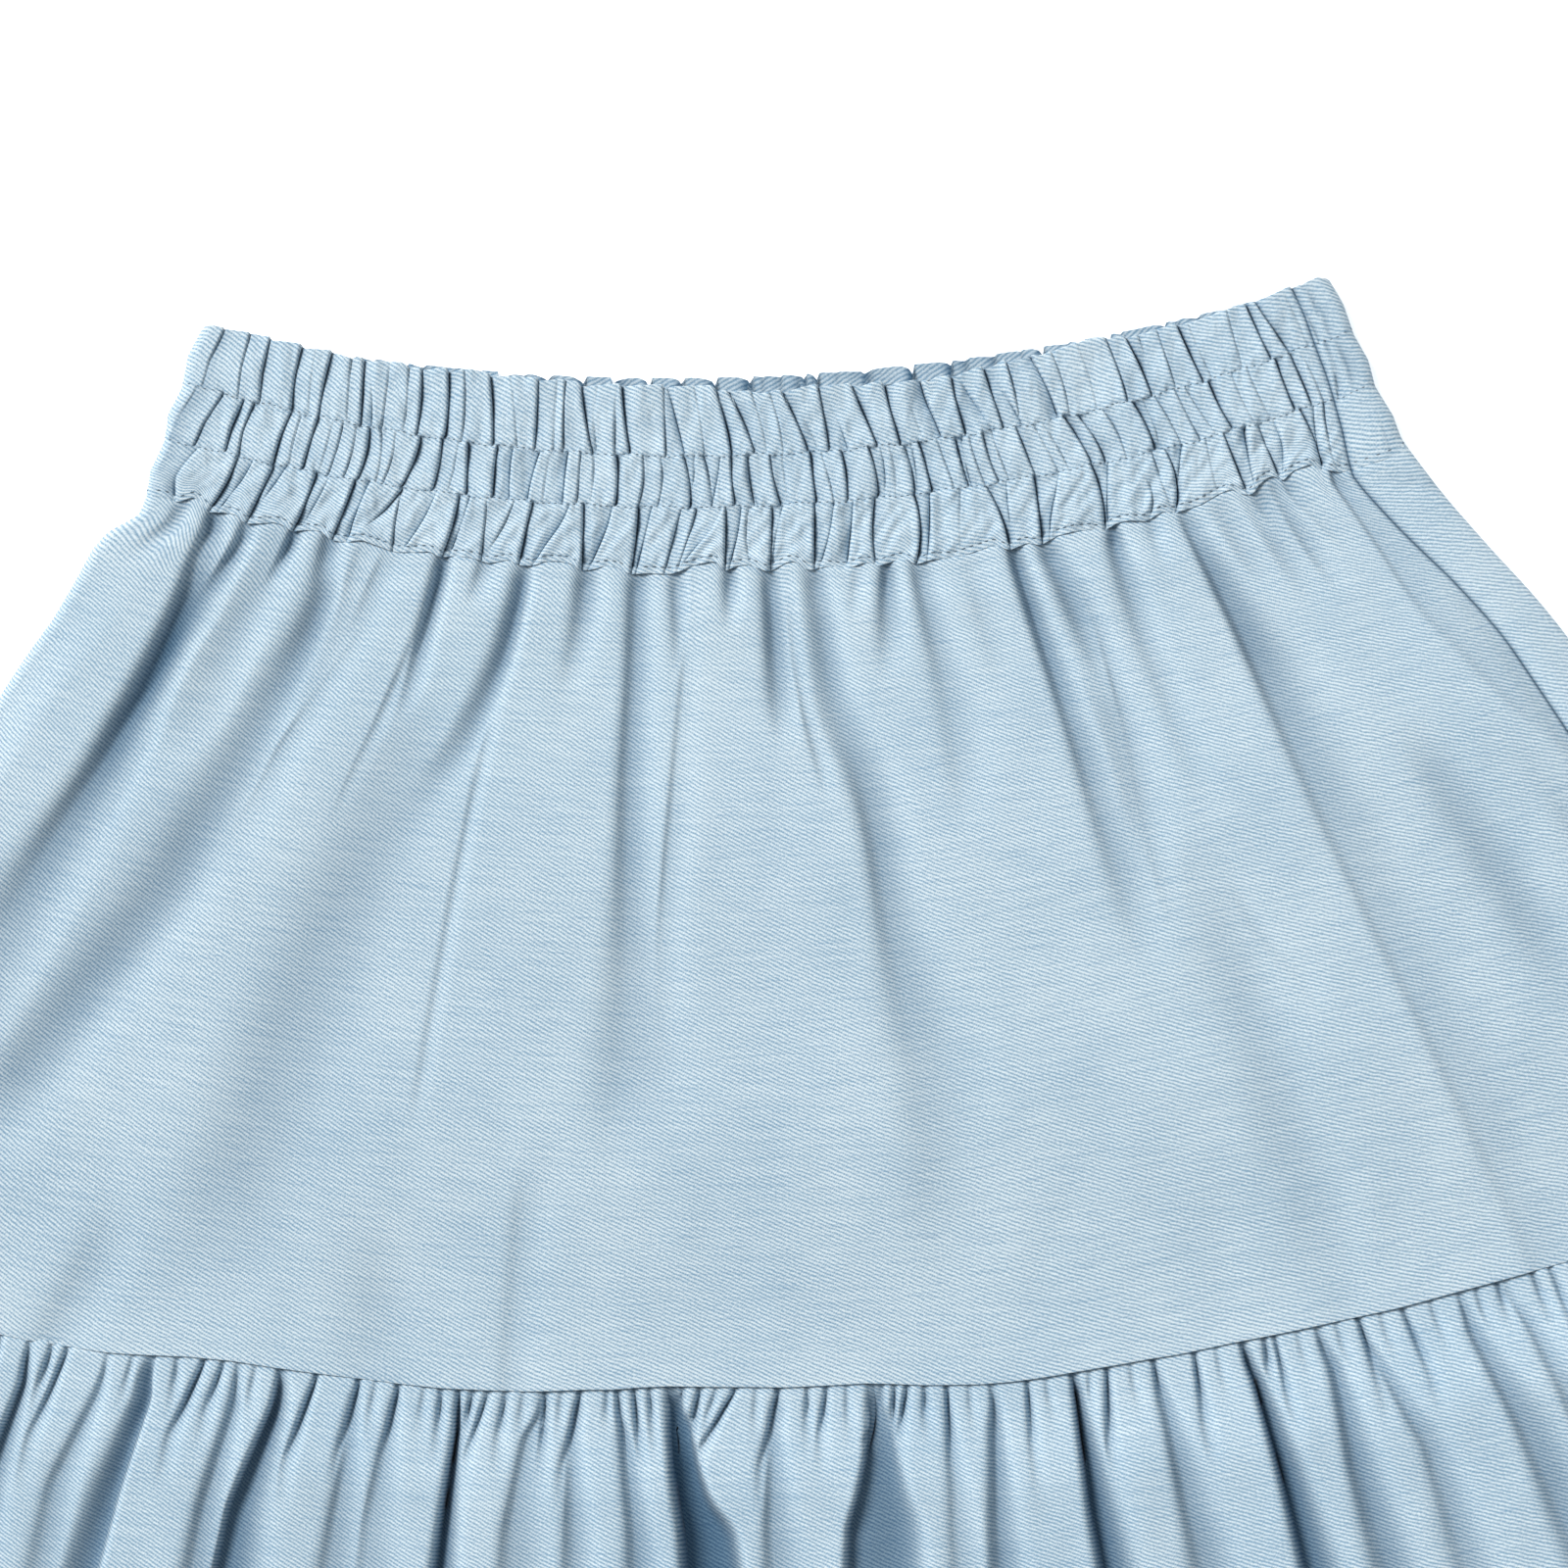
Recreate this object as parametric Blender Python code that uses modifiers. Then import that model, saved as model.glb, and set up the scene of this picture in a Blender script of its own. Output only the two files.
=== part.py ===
# Tiered skirt laid flat: elastic waistband, first tier and gathered ruffle tier.
#
# The garment is a tube pressed flat on a table. Every panel is a stretch of that tube:
# "around" runs from -1 at the left edge over the front to +1 at the right edge, and on
# under the back to +3, which is the left edge again. "down" is the distance in metres
# from the waist along the middle of the front. Z is up, the hem points to -Y.

import bpy
import bmesh
import math
import numpy as np

# Sizes in metres

MM = 0.001
BAND_HEIGHT = 57 * MM
FIRST_TIER_LENGTH = 250 * MM
RUFFLE_LENGTH = 250 * MM
WAIST_TO_ORIGIN = 266 * MM
BACK_RISE = 3.5 * MM
WALL = 1.4 * MM
SEAM_GAP = 0.3 * MM
SEAM_TO_EDGE = 0.065
SEAM_FLAT = 2.0 * MM

BAND_SEAM = BAND_HEIGHT
RUFFLE_SEAM = BAND_SEAM + FIRST_TIER_LENGTH
HEM = RUFFLE_SEAM + RUFFLE_LENGTH

# Heights of the middle of the cloth above the table

BACK_REST = WALL / 2
FRONT_REST = 4.6 * MM
EDGE_TOP = 6.4 * MM

# Flat outline: distance down the middle, half width, radius of the bow across the front
#        down          half_width  bow_radius
OUTLINE = (
    (0.0,              0.171,      0.600),
    (BAND_SEAM,        0.192,      0.657),
    (0.127,            0.240,      0.730),
    (RUFFLE_SEAM,      0.340,      1.000),
    (HEM,              0.430,      1.190),
)

# Waistband: the rows of stitching that hold the elastic down
CASING_ROWS = (21 * MM, 37 * MM, 55.5 * MM)
ROW_HALF_WIDTH = 2.2 * MM
CASING_PUFF = 1.5 * MM
BAND_GATHER = 2.3 * MM
EDGE_TUCK = 0.9 * MM

# Front gathers of the waistband: where each pinch lies around the front,
# at the waist edge and at the lower seam
#   at_waist  at_seam
BAND_PINCHES = (
    (-0.947, -0.940), (-0.902, -0.890), (-0.855, -0.838), (-0.805, -0.764), (-0.745, -0.694),
    (-0.682, -0.636), (-0.604, -0.580), (-0.558, -0.522), (-0.510, -0.462), (-0.440, -0.400),
    (-0.375, -0.345), (-0.318, -0.292), (-0.254, -0.224), (-0.176, -0.150), (-0.120, -0.108),
    (-0.071, -0.068), (-0.020, -0.004), (0.036, 0.060), (0.092, 0.122), (0.145, 0.176),
    (0.201, 0.228), (0.262, 0.290), (0.317, 0.344), (0.374, 0.398), (0.428, 0.452),
    (0.476, 0.506), (0.535, 0.560), (0.589, 0.612), (0.638, 0.664), (0.692, 0.716),
    (0.745, 0.764), (0.795, 0.812), (0.842, 0.858), (0.886, 0.900),
)

# First tier: soft valleys in the front, each a line around the front that fades out.
# Depth is a share of the height that the cloth would have there
#   at_seam  middle  lower   ends_down  depth  half_width
TIER_VALLEYS = (
    (-0.890, -0.826, -0.832, 0.225,     0.72,  11 * MM),
    (-0.697, -0.696, -0.706, 0.200,     0.50,  14 * MM),
    (-0.606, -0.642, -0.660, 0.130,     0.22,  9 * MM),
    (-0.531, -0.540, -0.566, 0.180,     0.42,  10 * MM),
    (-0.405, -0.430, -0.452, 0.165,     0.40,  11 * MM),
    (-0.353, -0.385, -0.390, 0.230,     0.26,  8 * MM),
    (-0.222, -0.216, -0.222, 0.180,     0.64,  12 * MM),
    (-0.120, -0.144, -0.142, 0.220,     0.28,  8 * MM),
    (-0.004, 0.000, 0.004,   0.110,     0.26,  9 * MM),
    (0.036, 0.086, 0.112,    0.205,     0.62,  11 * MM),
    (0.204, 0.204, 0.210,    0.150,     0.32,  9 * MM),
    (0.352, 0.364, 0.372,    0.180,     0.44,  11 * MM),
    (0.452, 0.446, 0.426,    0.190,     0.24,  8 * MM),
    (0.508, 0.490, 0.506,    0.205,     0.28,  9 * MM),
    (0.646, 0.632, 0.660,    0.270,     0.62,  12 * MM),
    (0.884, 0.874, 0.904,    0.170,     0.44,  11 * MM),
)
TIER_PUFF = 8.0 * MM
PUFF_AT_SEAM = 0.12

# Ruffle: pinches along the gathering seam, around the front
RUFFLE_PINCHES = (
    -0.965, -0.935, -0.905, -0.872, -0.842, -0.815, -0.782, -0.748, -0.718, -0.692,
    -0.660, -0.625, -0.584, -0.556, -0.530, -0.508, -0.468, -0.438, -0.401, -0.369,
    -0.328, -0.302, -0.271, -0.237, -0.206, -0.178, -0.150, -0.131, -0.109, -0.087,
    -0.060, -0.032, -0.002, 0.024, 0.048, 0.072, 0.099, 0.128, 0.157, 0.189,
    0.225, 0.262, 0.302, 0.339, 0.379, 0.411, 0.448, 0.486, 0.526, 0.552,
    0.578, 0.612, 0.644, 0.678, 0.712, 0.745, 0.775, 0.808, 0.842, 0.870,
    0.902, 0.936, 0.965,
)
RUFFLE_GATHER = 3.0 * MM
GATHER_LENGTH = 70 * MM

# Ruffle: the deep folds that the gathers run into, around the front
#   at_seam  at_hem  depth_share
RUFFLE_FOLDS = (
    (-0.970, -0.972, 0.7), (-0.872, -0.884, 0.9), (-0.782, -0.800, 0.8), (-0.692, -0.705, 0.9),
    (-0.584, -0.614, 1.0), (-0.468, -0.522, 1.0), (-0.401, -0.436, 0.7), (-0.316, -0.336, 1.0),
    (-0.237, -0.250, 0.8), (-0.131, -0.098, 1.0), (-0.032, -0.038, 0.6), (0.048, 0.012, 1.0),
    (0.145, 0.120, 0.8), (0.225, 0.238, 1.0), (0.302, 0.312, 0.7), (0.379, 0.396, 1.0),
    (0.448, 0.455, 0.8), (0.578, 0.612, 1.0), (0.678, 0.700, 0.8), (0.775, 0.792, 1.0),
    (0.870, 0.886, 0.8), (0.965, 0.970, 0.8),
)
RUFFLE_FULL = 9.5 * MM

# Back: even channels pressed flat, their number and how far they stand off the table
#         gathers  height
BAND_BACK = (14, 0.8 * MM)
TIER_BACK = (8, 0.9 * MM)
RUFFLE_BACK = (18, 1.5 * MM)
CHANNEL_SHARE = 0.25

# Grid lines down each panel; those across follow the gathers
BAND_LINES = (0.0, 11 * MM, 21 * MM, 29 * MM, 37 * MM, 46 * MM, BAND_SEAM)
TIER_LINES = (BAND_SEAM, 0.075, 0.110, 0.155, 0.210, 0.262, RUFFLE_SEAM)
RUFFLE_LINES = (RUFFLE_SEAM, 0.322, 0.355, 0.410, 0.480, HEM)
EDGES = (-1.0, 1.0, 3.0)
TURN_STEPS = 4
TIER_STEPS = 64

CREASE_ANGLE = math.radians(20)
CLOTH_BLUE = (0.509, 0.645, 0.730, 1.0)
CLOTH_ROUGHNESS = 0.9


def smooth_between(rows, column, down):
    """Value of one outline column at each distance down, on a smooth curve through the rows."""
    x = np.array([row[0] for row in rows])
    y = np.array([row[column] for row in rows])
    step = np.diff(x)
    slope = np.diff(y) / step
    tangent = np.empty(len(x))
    tangent[0] = slope[0]
    tangent[-1] = slope[-1]
    tangent[1:-1] = 2 * slope[:-1] * slope[1:] / (slope[:-1] + slope[1:])
    i = np.clip(np.searchsorted(x, down) - 1, 0, len(x) - 2)
    t = (down - x[i]) / step[i]
    rise = y[i] * (1 + 2 * t) * (1 - t) ** 2 + y[i + 1] * t * t * (3 - 2 * t)
    return rise + step[i] * t * (1 - t) * (tangent[i] * (1 - t) - tangent[i + 1] * t)


def ease(t):
    """Soft step from 0 to 1."""
    t = np.clip(t, 0.0, 1.0)
    return t * t * (3 - 2 * t)


def between_pinches(around, pinches):
    """Roundness of the cloth between two pinches: 0 at each pinch, 1 on the ridge between."""
    i = np.clip(np.searchsorted(pinches, around), 1, len(pinches) - 1)
    low = pinches[i - 1]
    high = pinches[i]
    t = np.clip((around - low) / (high - low), 0.0, 1.0)
    width = (high - low) / np.mean(np.diff(pinches))
    return np.sin(math.pi * t) * np.minimum(width, 1.0)


def band_relief(around, down):
    """Front waistband: gathers, puffed between the rows of stitching."""
    height = np.zeros_like(around)
    for column in range(around.shape[1]):
        depth = down[0, column]
        share = np.clip(depth / BAND_SEAM, 0.0, 1.0)
        pinches = np.array([top + (low - top) * share for top, low in BAND_PINCHES])
        pinches = np.concatenate(([-1.0], pinches, [1.0]))
        row = min(abs(depth - line) for line in CASING_ROWS)
        free = ease(row / (3 * ROW_HALF_WIDTH))
        gather = BAND_GATHER * (0.45 + 0.55 * free)
        height[:, column] = gather * between_pinches(around[:, column], pinches) + CASING_PUFF * free
        height[:, column] -= EDGE_TUCK * (1 - ease(depth / (3 * ROW_HALF_WIDTH)))
    return height


def tier_relief(around, down):
    """Front first tier: a gentle dome of cloth with soft valleys running down from the waist."""
    share = (down - BAND_SEAM) / FIRST_TIER_LENGTH
    dome = np.sin(math.pi * np.clip(share, 0.0, 1.0)) ** 0.6
    height = TIER_PUFF * (PUFF_AT_SEAM + (1 - PUFF_AT_SEAM) * dome)
    half_width = smooth_between(OUTLINE, 1, down)
    for at_seam, middle, lower, ends_down, depth, reach in TIER_VALLEYS:
        along = np.clip((down - BAND_SEAM) / (ends_down - BAND_SEAM), 0.0, 1.0)
        line = at_seam + (middle - at_seam) * np.minimum(2 * along, 1.0)
        line += (lower - middle) * np.maximum(2 * along - 1, 0.0)
        fade = (1 - ease(along)) * (0.45 + 0.55 * ease(6 * along))
        away = (around - line) * half_width / (reach * (0.7 + 0.6 * along))
        height *= 1 - depth * fade * np.exp(-away ** 2)
    return height


def ruffle_relief(around, down):
    """Front ruffle: close gathers under the seam that run into deeper folds at the hem."""
    share = np.clip((down - RUFFLE_SEAM) / RUFFLE_LENGTH, 0.0, 1.0)
    pinches = np.array(RUFFLE_PINCHES)
    swell = ease((down - RUFFLE_SEAM) / (14 * MM))
    fade = 1 - 0.85 * ease((down - RUFFLE_SEAM) / GATHER_LENGTH)
    height = RUFFLE_GATHER * (0.35 + 0.65 * swell) * fade * between_pinches(around, pinches)
    fold = np.zeros_like(around)
    for column in range(around.shape[1]):
        centres = np.array([top + (low - top) * share[0, column] for top, low, depth in RUFFLE_FOLDS])
        depths = np.interp(around[:, column], centres, [depth for top, low, depth in RUFFLE_FOLDS])
        round_fold = between_pinches(around[:, column], centres)
        fold[:, column] = 1 - depths * (1 - round_fold ** 0.8)
    grow = 0.65 * ease(share * 6) + 0.35 * share
    return height + RUFFLE_FULL * grow * fold


def channels(around, gathers, height):
    """Back: flat on the table but for narrow channels between the flats."""
    place = (around - 1) * gathers / 2 % 1
    return height * np.maximum(0.0, 1 - np.abs(place - 0.5) / CHANNEL_SHARE)


def tube_point(around, down, front_relief, back_relief):
    """Points of the flattened tube: grids of x, y and z for grids of around and down."""
    half_width = smooth_between(OUTLINE, 1, down)
    bow = smooth_between(OUTLINE, 2, down)
    turn = (EDGE_TOP - BACK_REST) / 2
    turn_share = turn / half_width
    wrapped = (around + 1) % 4 - 1
    under = wrapped > 1
    across = np.where(under, 2 - wrapped, wrapped)
    inward = np.clip((1 - np.abs(across)) / turn_share, 0.0, 1.0)
    angle = (1 - inward) * math.pi / 2
    edge = 1 - turn_share + turn_share * np.sin(angle)
    across = np.where(inward < 1, np.sign(across) * edge, across)
    rim = np.cos(angle)
    free = ease((1 - np.abs(across)) / (5 * turn_share))
    front_height = EDGE_TOP + (FRONT_REST + front_relief - EDGE_TOP) * free
    back_height = BACK_REST + back_relief * free
    middle = (EDGE_TOP + BACK_REST) / 2
    z = np.where(under, middle + (back_height - middle) * rim, middle + (front_height - middle) * rim)
    swing = np.arcsin(half_width / bow) * across
    x = bow * np.sin(swing)
    rise = BACK_RISE * (1 - across ** 2) * ease(1 - down / BAND_SEAM)
    y = WAIST_TO_ORIGIN - down + bow * (1 - np.cos(swing)) + np.where(under, rise, 0.0)
    return x, y, z


def grid_lines(start, end, marks, half_width, share):
    """Grid lines around a panel, for each row down: the marks and the lines of the side turns.

    A mark has its place at the panel's top and at its bottom, and share is how far down a row is."""
    turn_share = (EDGE_TOP - BACK_REST) / 2 / half_width
    clear = 1.6 * turn_share.max()
    lines = [(top, low, 0.0) for top, low in marks
             if min(abs(top - edge) for edge in EDGES) > clear]
    lines += [(edge, edge, 2 * k / TURN_STEPS - 1) for edge in EDGES for k in range(TURN_STEPS + 1)]
    lines = [line for line in sorted(lines, key=lambda line: (line[0], line[2]))
             if start + clear < line[0] < end - clear]
    inside = [top + (low - top) * share + turned * turn_share for top, low, turned in lines]
    trim = SEAM_GAP / 2 / half_width
    level = SEAM_FLAT / half_width
    return np.array([start + trim, start + level] + inside + [end - level, end - trim])


def panel(name, start, end, marks, lines, front, back, parts):
    """One cut piece of cloth, as a grid bent onto the tube and given its wall.

    Its folds stop short of its edges, so that it lies level beside each seam."""
    down = np.array(lines, dtype=float)
    down = np.insert(down, (1, len(down) - 1), (down[0] + SEAM_FLAT, down[-1] - SEAM_FLAT))
    down[0] += SEAM_GAP / 2
    down[-1] -= SEAM_GAP / 2
    share = (down - lines[0]) / (lines[-1] - lines[0])
    grid_around = grid_lines(start, end, marks, smooth_between(OUTLINE, 1, down), share)
    grid_down = np.broadcast_to(down, grid_around.shape)
    level_around = np.clip(grid_around, grid_around[1], grid_around[-2])
    level_down = np.clip(grid_down, down[1], down[-2])
    front_relief = front(level_around, level_down)
    x, y, z = tube_point(grid_around, grid_down, front_relief, back(level_around))
    sheet = bmesh.new()
    last_line, last_row = x.shape[0] - 1, x.shape[1] - 1
    bmesh.ops.create_grid(sheet, x_segments=last_line, y_segments=last_row, size=0.5)
    for vertex in sheet.verts:
        i = round((vertex.co.x + 0.5) * last_line)
        j = last_row - round((vertex.co.y + 0.5) * last_row)
        vertex.co = (x[i, j], y[i, j], z[i, j])
    mesh = bpy.data.meshes.new(name)
    sheet.to_mesh(mesh)
    sheet.free()
    mesh.shade_smooth()
    mesh.set_sharp_from_angle(angle=CREASE_ANGLE)
    piece = bpy.data.objects.new(name, mesh)
    parts.objects.link(piece)
    wall = piece.modifiers.new("wall", "SOLIDIFY")
    wall.thickness = WALL
    wall.offset = 0.0
    wall.use_rim = True
    piece.data.materials.append(cloth_material(name))
    return piece


def cloth_material(name):
    """Light blue cotton twill."""
    material = bpy.data.materials.new(name + "_cloth")
    material.use_nodes = True
    shader = material.node_tree.nodes["Principled BSDF"]
    shader.inputs["Base Color"].default_value = CLOTH_BLUE
    shader.inputs["Roughness"].default_value = CLOTH_ROUGHNESS
    shader.inputs["Metallic"].default_value = 0.0
    return material


def with_ridges(pinches):
    """Each pinch and the ridge half way to the next one, from the top of the panel to its bottom."""
    marks = list(pinches)
    for (top, low), (next_top, next_low) in zip(pinches[:-1], pinches[1:]):
        marks.append(((top + next_top) / 2, (low + next_low) / 2))
    return marks


def back_marks(gathers):
    """Crest and flanks of each even channel around the back, and the middle of each flat."""
    pitch = 2 / gathers
    steps = (0.0, 0.5 - CHANNEL_SHARE, 0.5, 0.5 + CHANNEL_SHARE)
    return [(1 + (k + step) * pitch,) * 2 for k in range(gathers) for step in steps]


def clear_scene():
    for thing in list(bpy.data.objects):
        bpy.data.objects.remove(thing, do_unlink=True)


def build():
    clear_scene()
    parts = bpy.data.collections.new("tiered_skirt")
    bpy.context.scene.collection.children.link(parts)
    right_seam = 1 - SEAM_TO_EDGE
    left_seam = -1 - SEAM_TO_EDGE
    back_end = left_seam + 4
    band_marks = with_ridges(BAND_PINCHES)
    ruffle_marks = with_ridges([(pinch, pinch) for pinch in RUFFLE_PINCHES])
    tier_marks = [(2 * k / TIER_STEPS - 1,) * 2 for k in range(TIER_STEPS + 1)]
    rows = (
        ("waistband", BAND_LINES, band_marks, band_relief, BAND_BACK),
        ("tier1", TIER_LINES, tier_marks, tier_relief, TIER_BACK),
        ("ruffle", RUFFLE_LINES, ruffle_marks, ruffle_relief, RUFFLE_BACK),
    )
    for name, lines, marks, relief, (gathers, height) in rows:
        def back_relief(around):
            return channels(around, gathers, height)
        around_back = back_marks(gathers) + [mark for mark in marks if mark[0] > right_seam]
        panel(name + "_front", left_seam, right_seam, marks, lines, relief, back_relief, parts)
        panel(name + "_back", right_seam, back_end, around_back, lines, relief, back_relief, parts)


build()
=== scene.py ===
# %% [markdown]
# # A tiered skirt in light blue cotton twill, laid flat
# The real skirt is six cut pieces of cloth: a waistband gathered on elastic, a softly folded
# first tier and a ruffle, each with a front and a back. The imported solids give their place.
# This lesson lays a fine sheet of cloth over each solid, then sews and colours it.

# %% Load the frame
import math
import bpy
import numpy as np
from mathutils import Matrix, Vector


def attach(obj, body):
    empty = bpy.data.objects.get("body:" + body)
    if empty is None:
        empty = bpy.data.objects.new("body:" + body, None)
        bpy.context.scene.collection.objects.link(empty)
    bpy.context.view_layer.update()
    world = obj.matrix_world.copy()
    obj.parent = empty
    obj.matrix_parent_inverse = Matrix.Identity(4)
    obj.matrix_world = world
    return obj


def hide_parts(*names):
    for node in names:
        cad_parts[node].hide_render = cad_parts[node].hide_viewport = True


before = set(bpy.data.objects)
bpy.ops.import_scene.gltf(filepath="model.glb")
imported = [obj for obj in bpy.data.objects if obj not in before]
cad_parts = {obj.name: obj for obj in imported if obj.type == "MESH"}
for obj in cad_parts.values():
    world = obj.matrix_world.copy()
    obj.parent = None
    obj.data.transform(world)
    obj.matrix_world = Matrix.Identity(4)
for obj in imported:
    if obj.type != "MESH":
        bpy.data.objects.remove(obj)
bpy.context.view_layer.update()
MM = 0.001
print("solids:", sorted(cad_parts))


# %% [markdown]
# ## The flat outline
# A skirt laid on a table is a tube pressed flat. Its outline could be drawn as one curve, but
# a short table is easier to change: how far down, how wide, and how strongly the rows bow.
# A smooth curve through the table gives every row between.

# %% Outline of the pressed tube
BAND_SEAM = 57 * MM
RUFFLE_SEAM = BAND_SEAM + 250 * MM
HEM = RUFFLE_SEAM + 250 * MM
WAIST_TO_ORIGIN = 266 * MM
#    down         half_width  bow_radius
OUTLINE = np.array((
    (0.0,         0.171,      0.600),
    (BAND_SEAM,   0.192,      0.657),
    (0.127,       0.240,      0.730),
    (RUFFLE_SEAM, 0.340,      1.000),
    (HEM,         0.430,      1.190),
))


def outline(down, column):
    """One column of the outline table at each distance down, on a smooth curve."""
    x, y = OUTLINE[:, 0], OUTLINE[:, column]
    step = np.diff(x)
    slope = np.diff(y) / step
    between = 2 * slope[:-1] * slope[1:] / (slope[:-1] + slope[1:])
    tangent = np.concatenate((slope[:1], between, slope[-1:]))
    i = np.clip(np.searchsorted(x, down) - 1, 0, len(x) - 2)
    t = (down - x[i]) / step[i]
    rise = y[i] * (1 + 2 * t) * (1 - t) ** 2 + y[i + 1] * t * t * (3 - 2 * t)
    return rise + step[i] * t * (1 - t) * (tangent[i] * (1 - t) - tangent[i + 1] * t)


def ease(t):
    """Soft step from 0 to 1."""
    t = np.clip(t, 0.0, 1.0)
    return t * t * (3 - 2 * t)


print("half width at waist, seam, hem:", outline(np.array([0.0, BAND_SEAM, HEM]), 1))


# %% [markdown]
# ## From the pressed tube to space
# Every point of the cloth has two numbers. "Around" is -1 at the left edge, +1 at the right
# edge and runs on under the back to +3. "Down" is metres from the waist. The sheet turns
# over at each edge in a half round, so that front and back are one tube and not two plates.
# Gathers push the cloth out past the smooth outline, so a second table says how far the two
# sides bulge at each height.

# %% Points of the pressed tube
BACK_REST = 0.4 * MM
FRONT_REST = 5.0 * MM
EDGE_TOP = 6.9 * MM
BACK_RISE = 3.5 * MM
TURN = (EDGE_TOP - BACK_REST) / 2
PUSH_START = 0.76
PUSH_SEAM = 0.93
FREE_SPAN = 5
#    down  left  left_edge  right_seam  right_edge, in mm
SIDE_PUSH = np.array((
    (0, 0, 1.2, 2.2, 2.6), (9, 0.6, 2.8, 2.6, 3.7), (19, 0.2, 1.7, 2.4, 3.2), (28, 1, 3.4, 2.4, 4.4),
    (36, 0.6, 1.9, 1.8, 3.2), (46, 0.8, 2.9, 0.4, 4.4), (54, 0.4, 1, -1.6, 3.4), (60, 0.3, 0.6, -3, 4),
    (65, 1.5, 4.4, -2.6, 4.2), (68, 2.4, 6.4, -2.2, 4.2), (74, 3, 7.2, -1.6, 4),
    (84, 2.4, 5.4, -0.8, 3.6), (98, 1, 2.6, 0.2, 2.5), (122, 0.2, 0.4, 0.4, 1.2), (160, 0, 0, -0.8, 0.4),
    (200, 0, 0, -1.8, 0), (270, 0, 0, 0, 0),
))


def side_push(across, down):
    """How far the cloth bulges out near its two edges, to the right."""
    far = np.abs(across)
    near = ease((far - PUSH_START) / (PUSH_SEAM - PUSH_START))
    edge = ease((far - PUSH_SEAM) / (1 - PUSH_SEAM))
    at = [np.interp(down, SIDE_PUSH[:, 0] * MM, SIDE_PUSH[:, k] * MM) for k in (1, 2, 3, 4)]
    left = at[0] * near + (at[1] - at[0]) * edge
    right = at[2] * near + (at[3] - at[2]) * edge
    return np.where(across < 0, -left, right)


def tube(around, down, lift, shift=0.0, slide=0.0):
    """Points in metres. Lift is off the rest height, shift to the right, slide down the cloth."""
    down = down + slide
    half_width = outline(down, 1)
    bow = outline(down, 2)
    turn_share = TURN / half_width
    wrapped = (around + 1) % 4 - 1
    under = wrapped > 1
    across = np.where(under, 2 - wrapped, wrapped)
    inward = np.clip((1 - np.abs(across)) / turn_share, 0.0, 1.0)
    angle = (1 - inward) * math.pi / 2
    edge = 1 - turn_share + turn_share * np.sin(angle)
    across = np.where(inward < 1, np.sign(across) * edge, across)
    free = ease((1 - np.abs(across)) / (FREE_SPAN * turn_share))
    middle = (EDGE_TOP + BACK_REST) / 2
    front = EDGE_TOP + (FRONT_REST + lift - EDGE_TOP) * free
    layer = np.where(under, BACK_REST + lift * free, front)
    z = middle + (layer - middle) * np.cos(angle)
    across = across + (shift * free + side_push(across, down)) / half_width
    swing = np.arcsin(half_width / bow) * across
    rise = np.where(under, BACK_RISE * (1 - across ** 2) * ease(1 - down / BAND_SEAM), 0.0)
    y = WAIST_TO_ORIGIN - down + bow * (1 - np.cos(swing)) + rise
    return np.stack((bow * np.sin(swing), y, z), axis=-1)


print("middle of the waist, front and back:", tube(np.array([0.0, 2.0]), np.zeros(2), 0.0))


# %% [markdown]
# ## Creases
# Gathered cloth is not a wave. It is a row of small plates, each of which ends in a sharp lip
# and drops into a valley, so a crease has a steep wall on one side and a gentle run on the
# other. One helper cuts such a trough along a line. Another says how much shade to paint
# there, because later the cloth's colour is darkened at the bottom of the creases as painted
# shade. A sharp lip needs many columns of points, so a third helper crowds the columns of
# the grid towards the creases.

# %% Troughs
LIP_ROUNDING = 0.02
LIP_WIDTH = 2.4
LEAN = 0.14
LEAN_WIDTH = 1.6
PAINTED_SHADE_SPAN = 4.5 * MM
PAINTED_SHADE_BEND = 1.4
CROWDING = 0.62


def trough(away, depth, wall, run, flatness=1.6):
    """Depth of a crease at a distance past its lip, and the lip's push towards its hollow."""
    away = away - wall
    steep = np.exp(-(away / wall) ** 2)
    side = np.where(away < 0, steep, np.exp(-np.abs(away / run) ** flatness))
    rounding = LIP_ROUNDING * np.exp(-(away / (LIP_WIDTH * wall)) ** 2) * (away < 0)
    lean = np.exp(-(away / (LEAN_WIDTH * wall)) ** 2) * np.where(away < 0, 1.0, steep)
    return depth * np.maximum(side, rounding), LEAN * depth * lean


def painted_shade_at(depth):
    """How much shade is painted into the cloth at a depth: 0 on top of a fold, near 1 deep inside one."""
    return 1 - np.exp(-(np.maximum(depth, 0) / PAINTED_SHADE_SPAN) ** PAINTED_SHADE_BEND)


def crowd(along, places, strengths, reach):
    """Moves grid columns towards creases, so that a sharp lip has the columns it needs."""
    pull = np.zeros(along.shape)
    total = np.zeros(along.shape)
    for place, strength in zip(places, strengths):
        near = strength * np.exp(-((along - place) / reach) ** 2)
        pull += near * (place - along)
        total += near
    return along + CROWDING * pull / np.maximum(total, 1.0)


across_trough = np.array((0, 1, 2, 4)) * MM
print("a 4 mm trough, 0 to 4 mm past its lip:", trough(across_trough, 4 * MM, 1 * MM, 2 * MM)[0])


# %% [markdown]
# ## Unevenness
# No cloth lies quite smooth between its creases. Random heights on a coarse table, with a
# soft curve between them, give a gentle relief. Each layer has a seed, so that it is the
# same every time.

# %% Soft noise
NOISE_TABLE = (97, 89)
NOISE_START = (40, 10)


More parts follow.
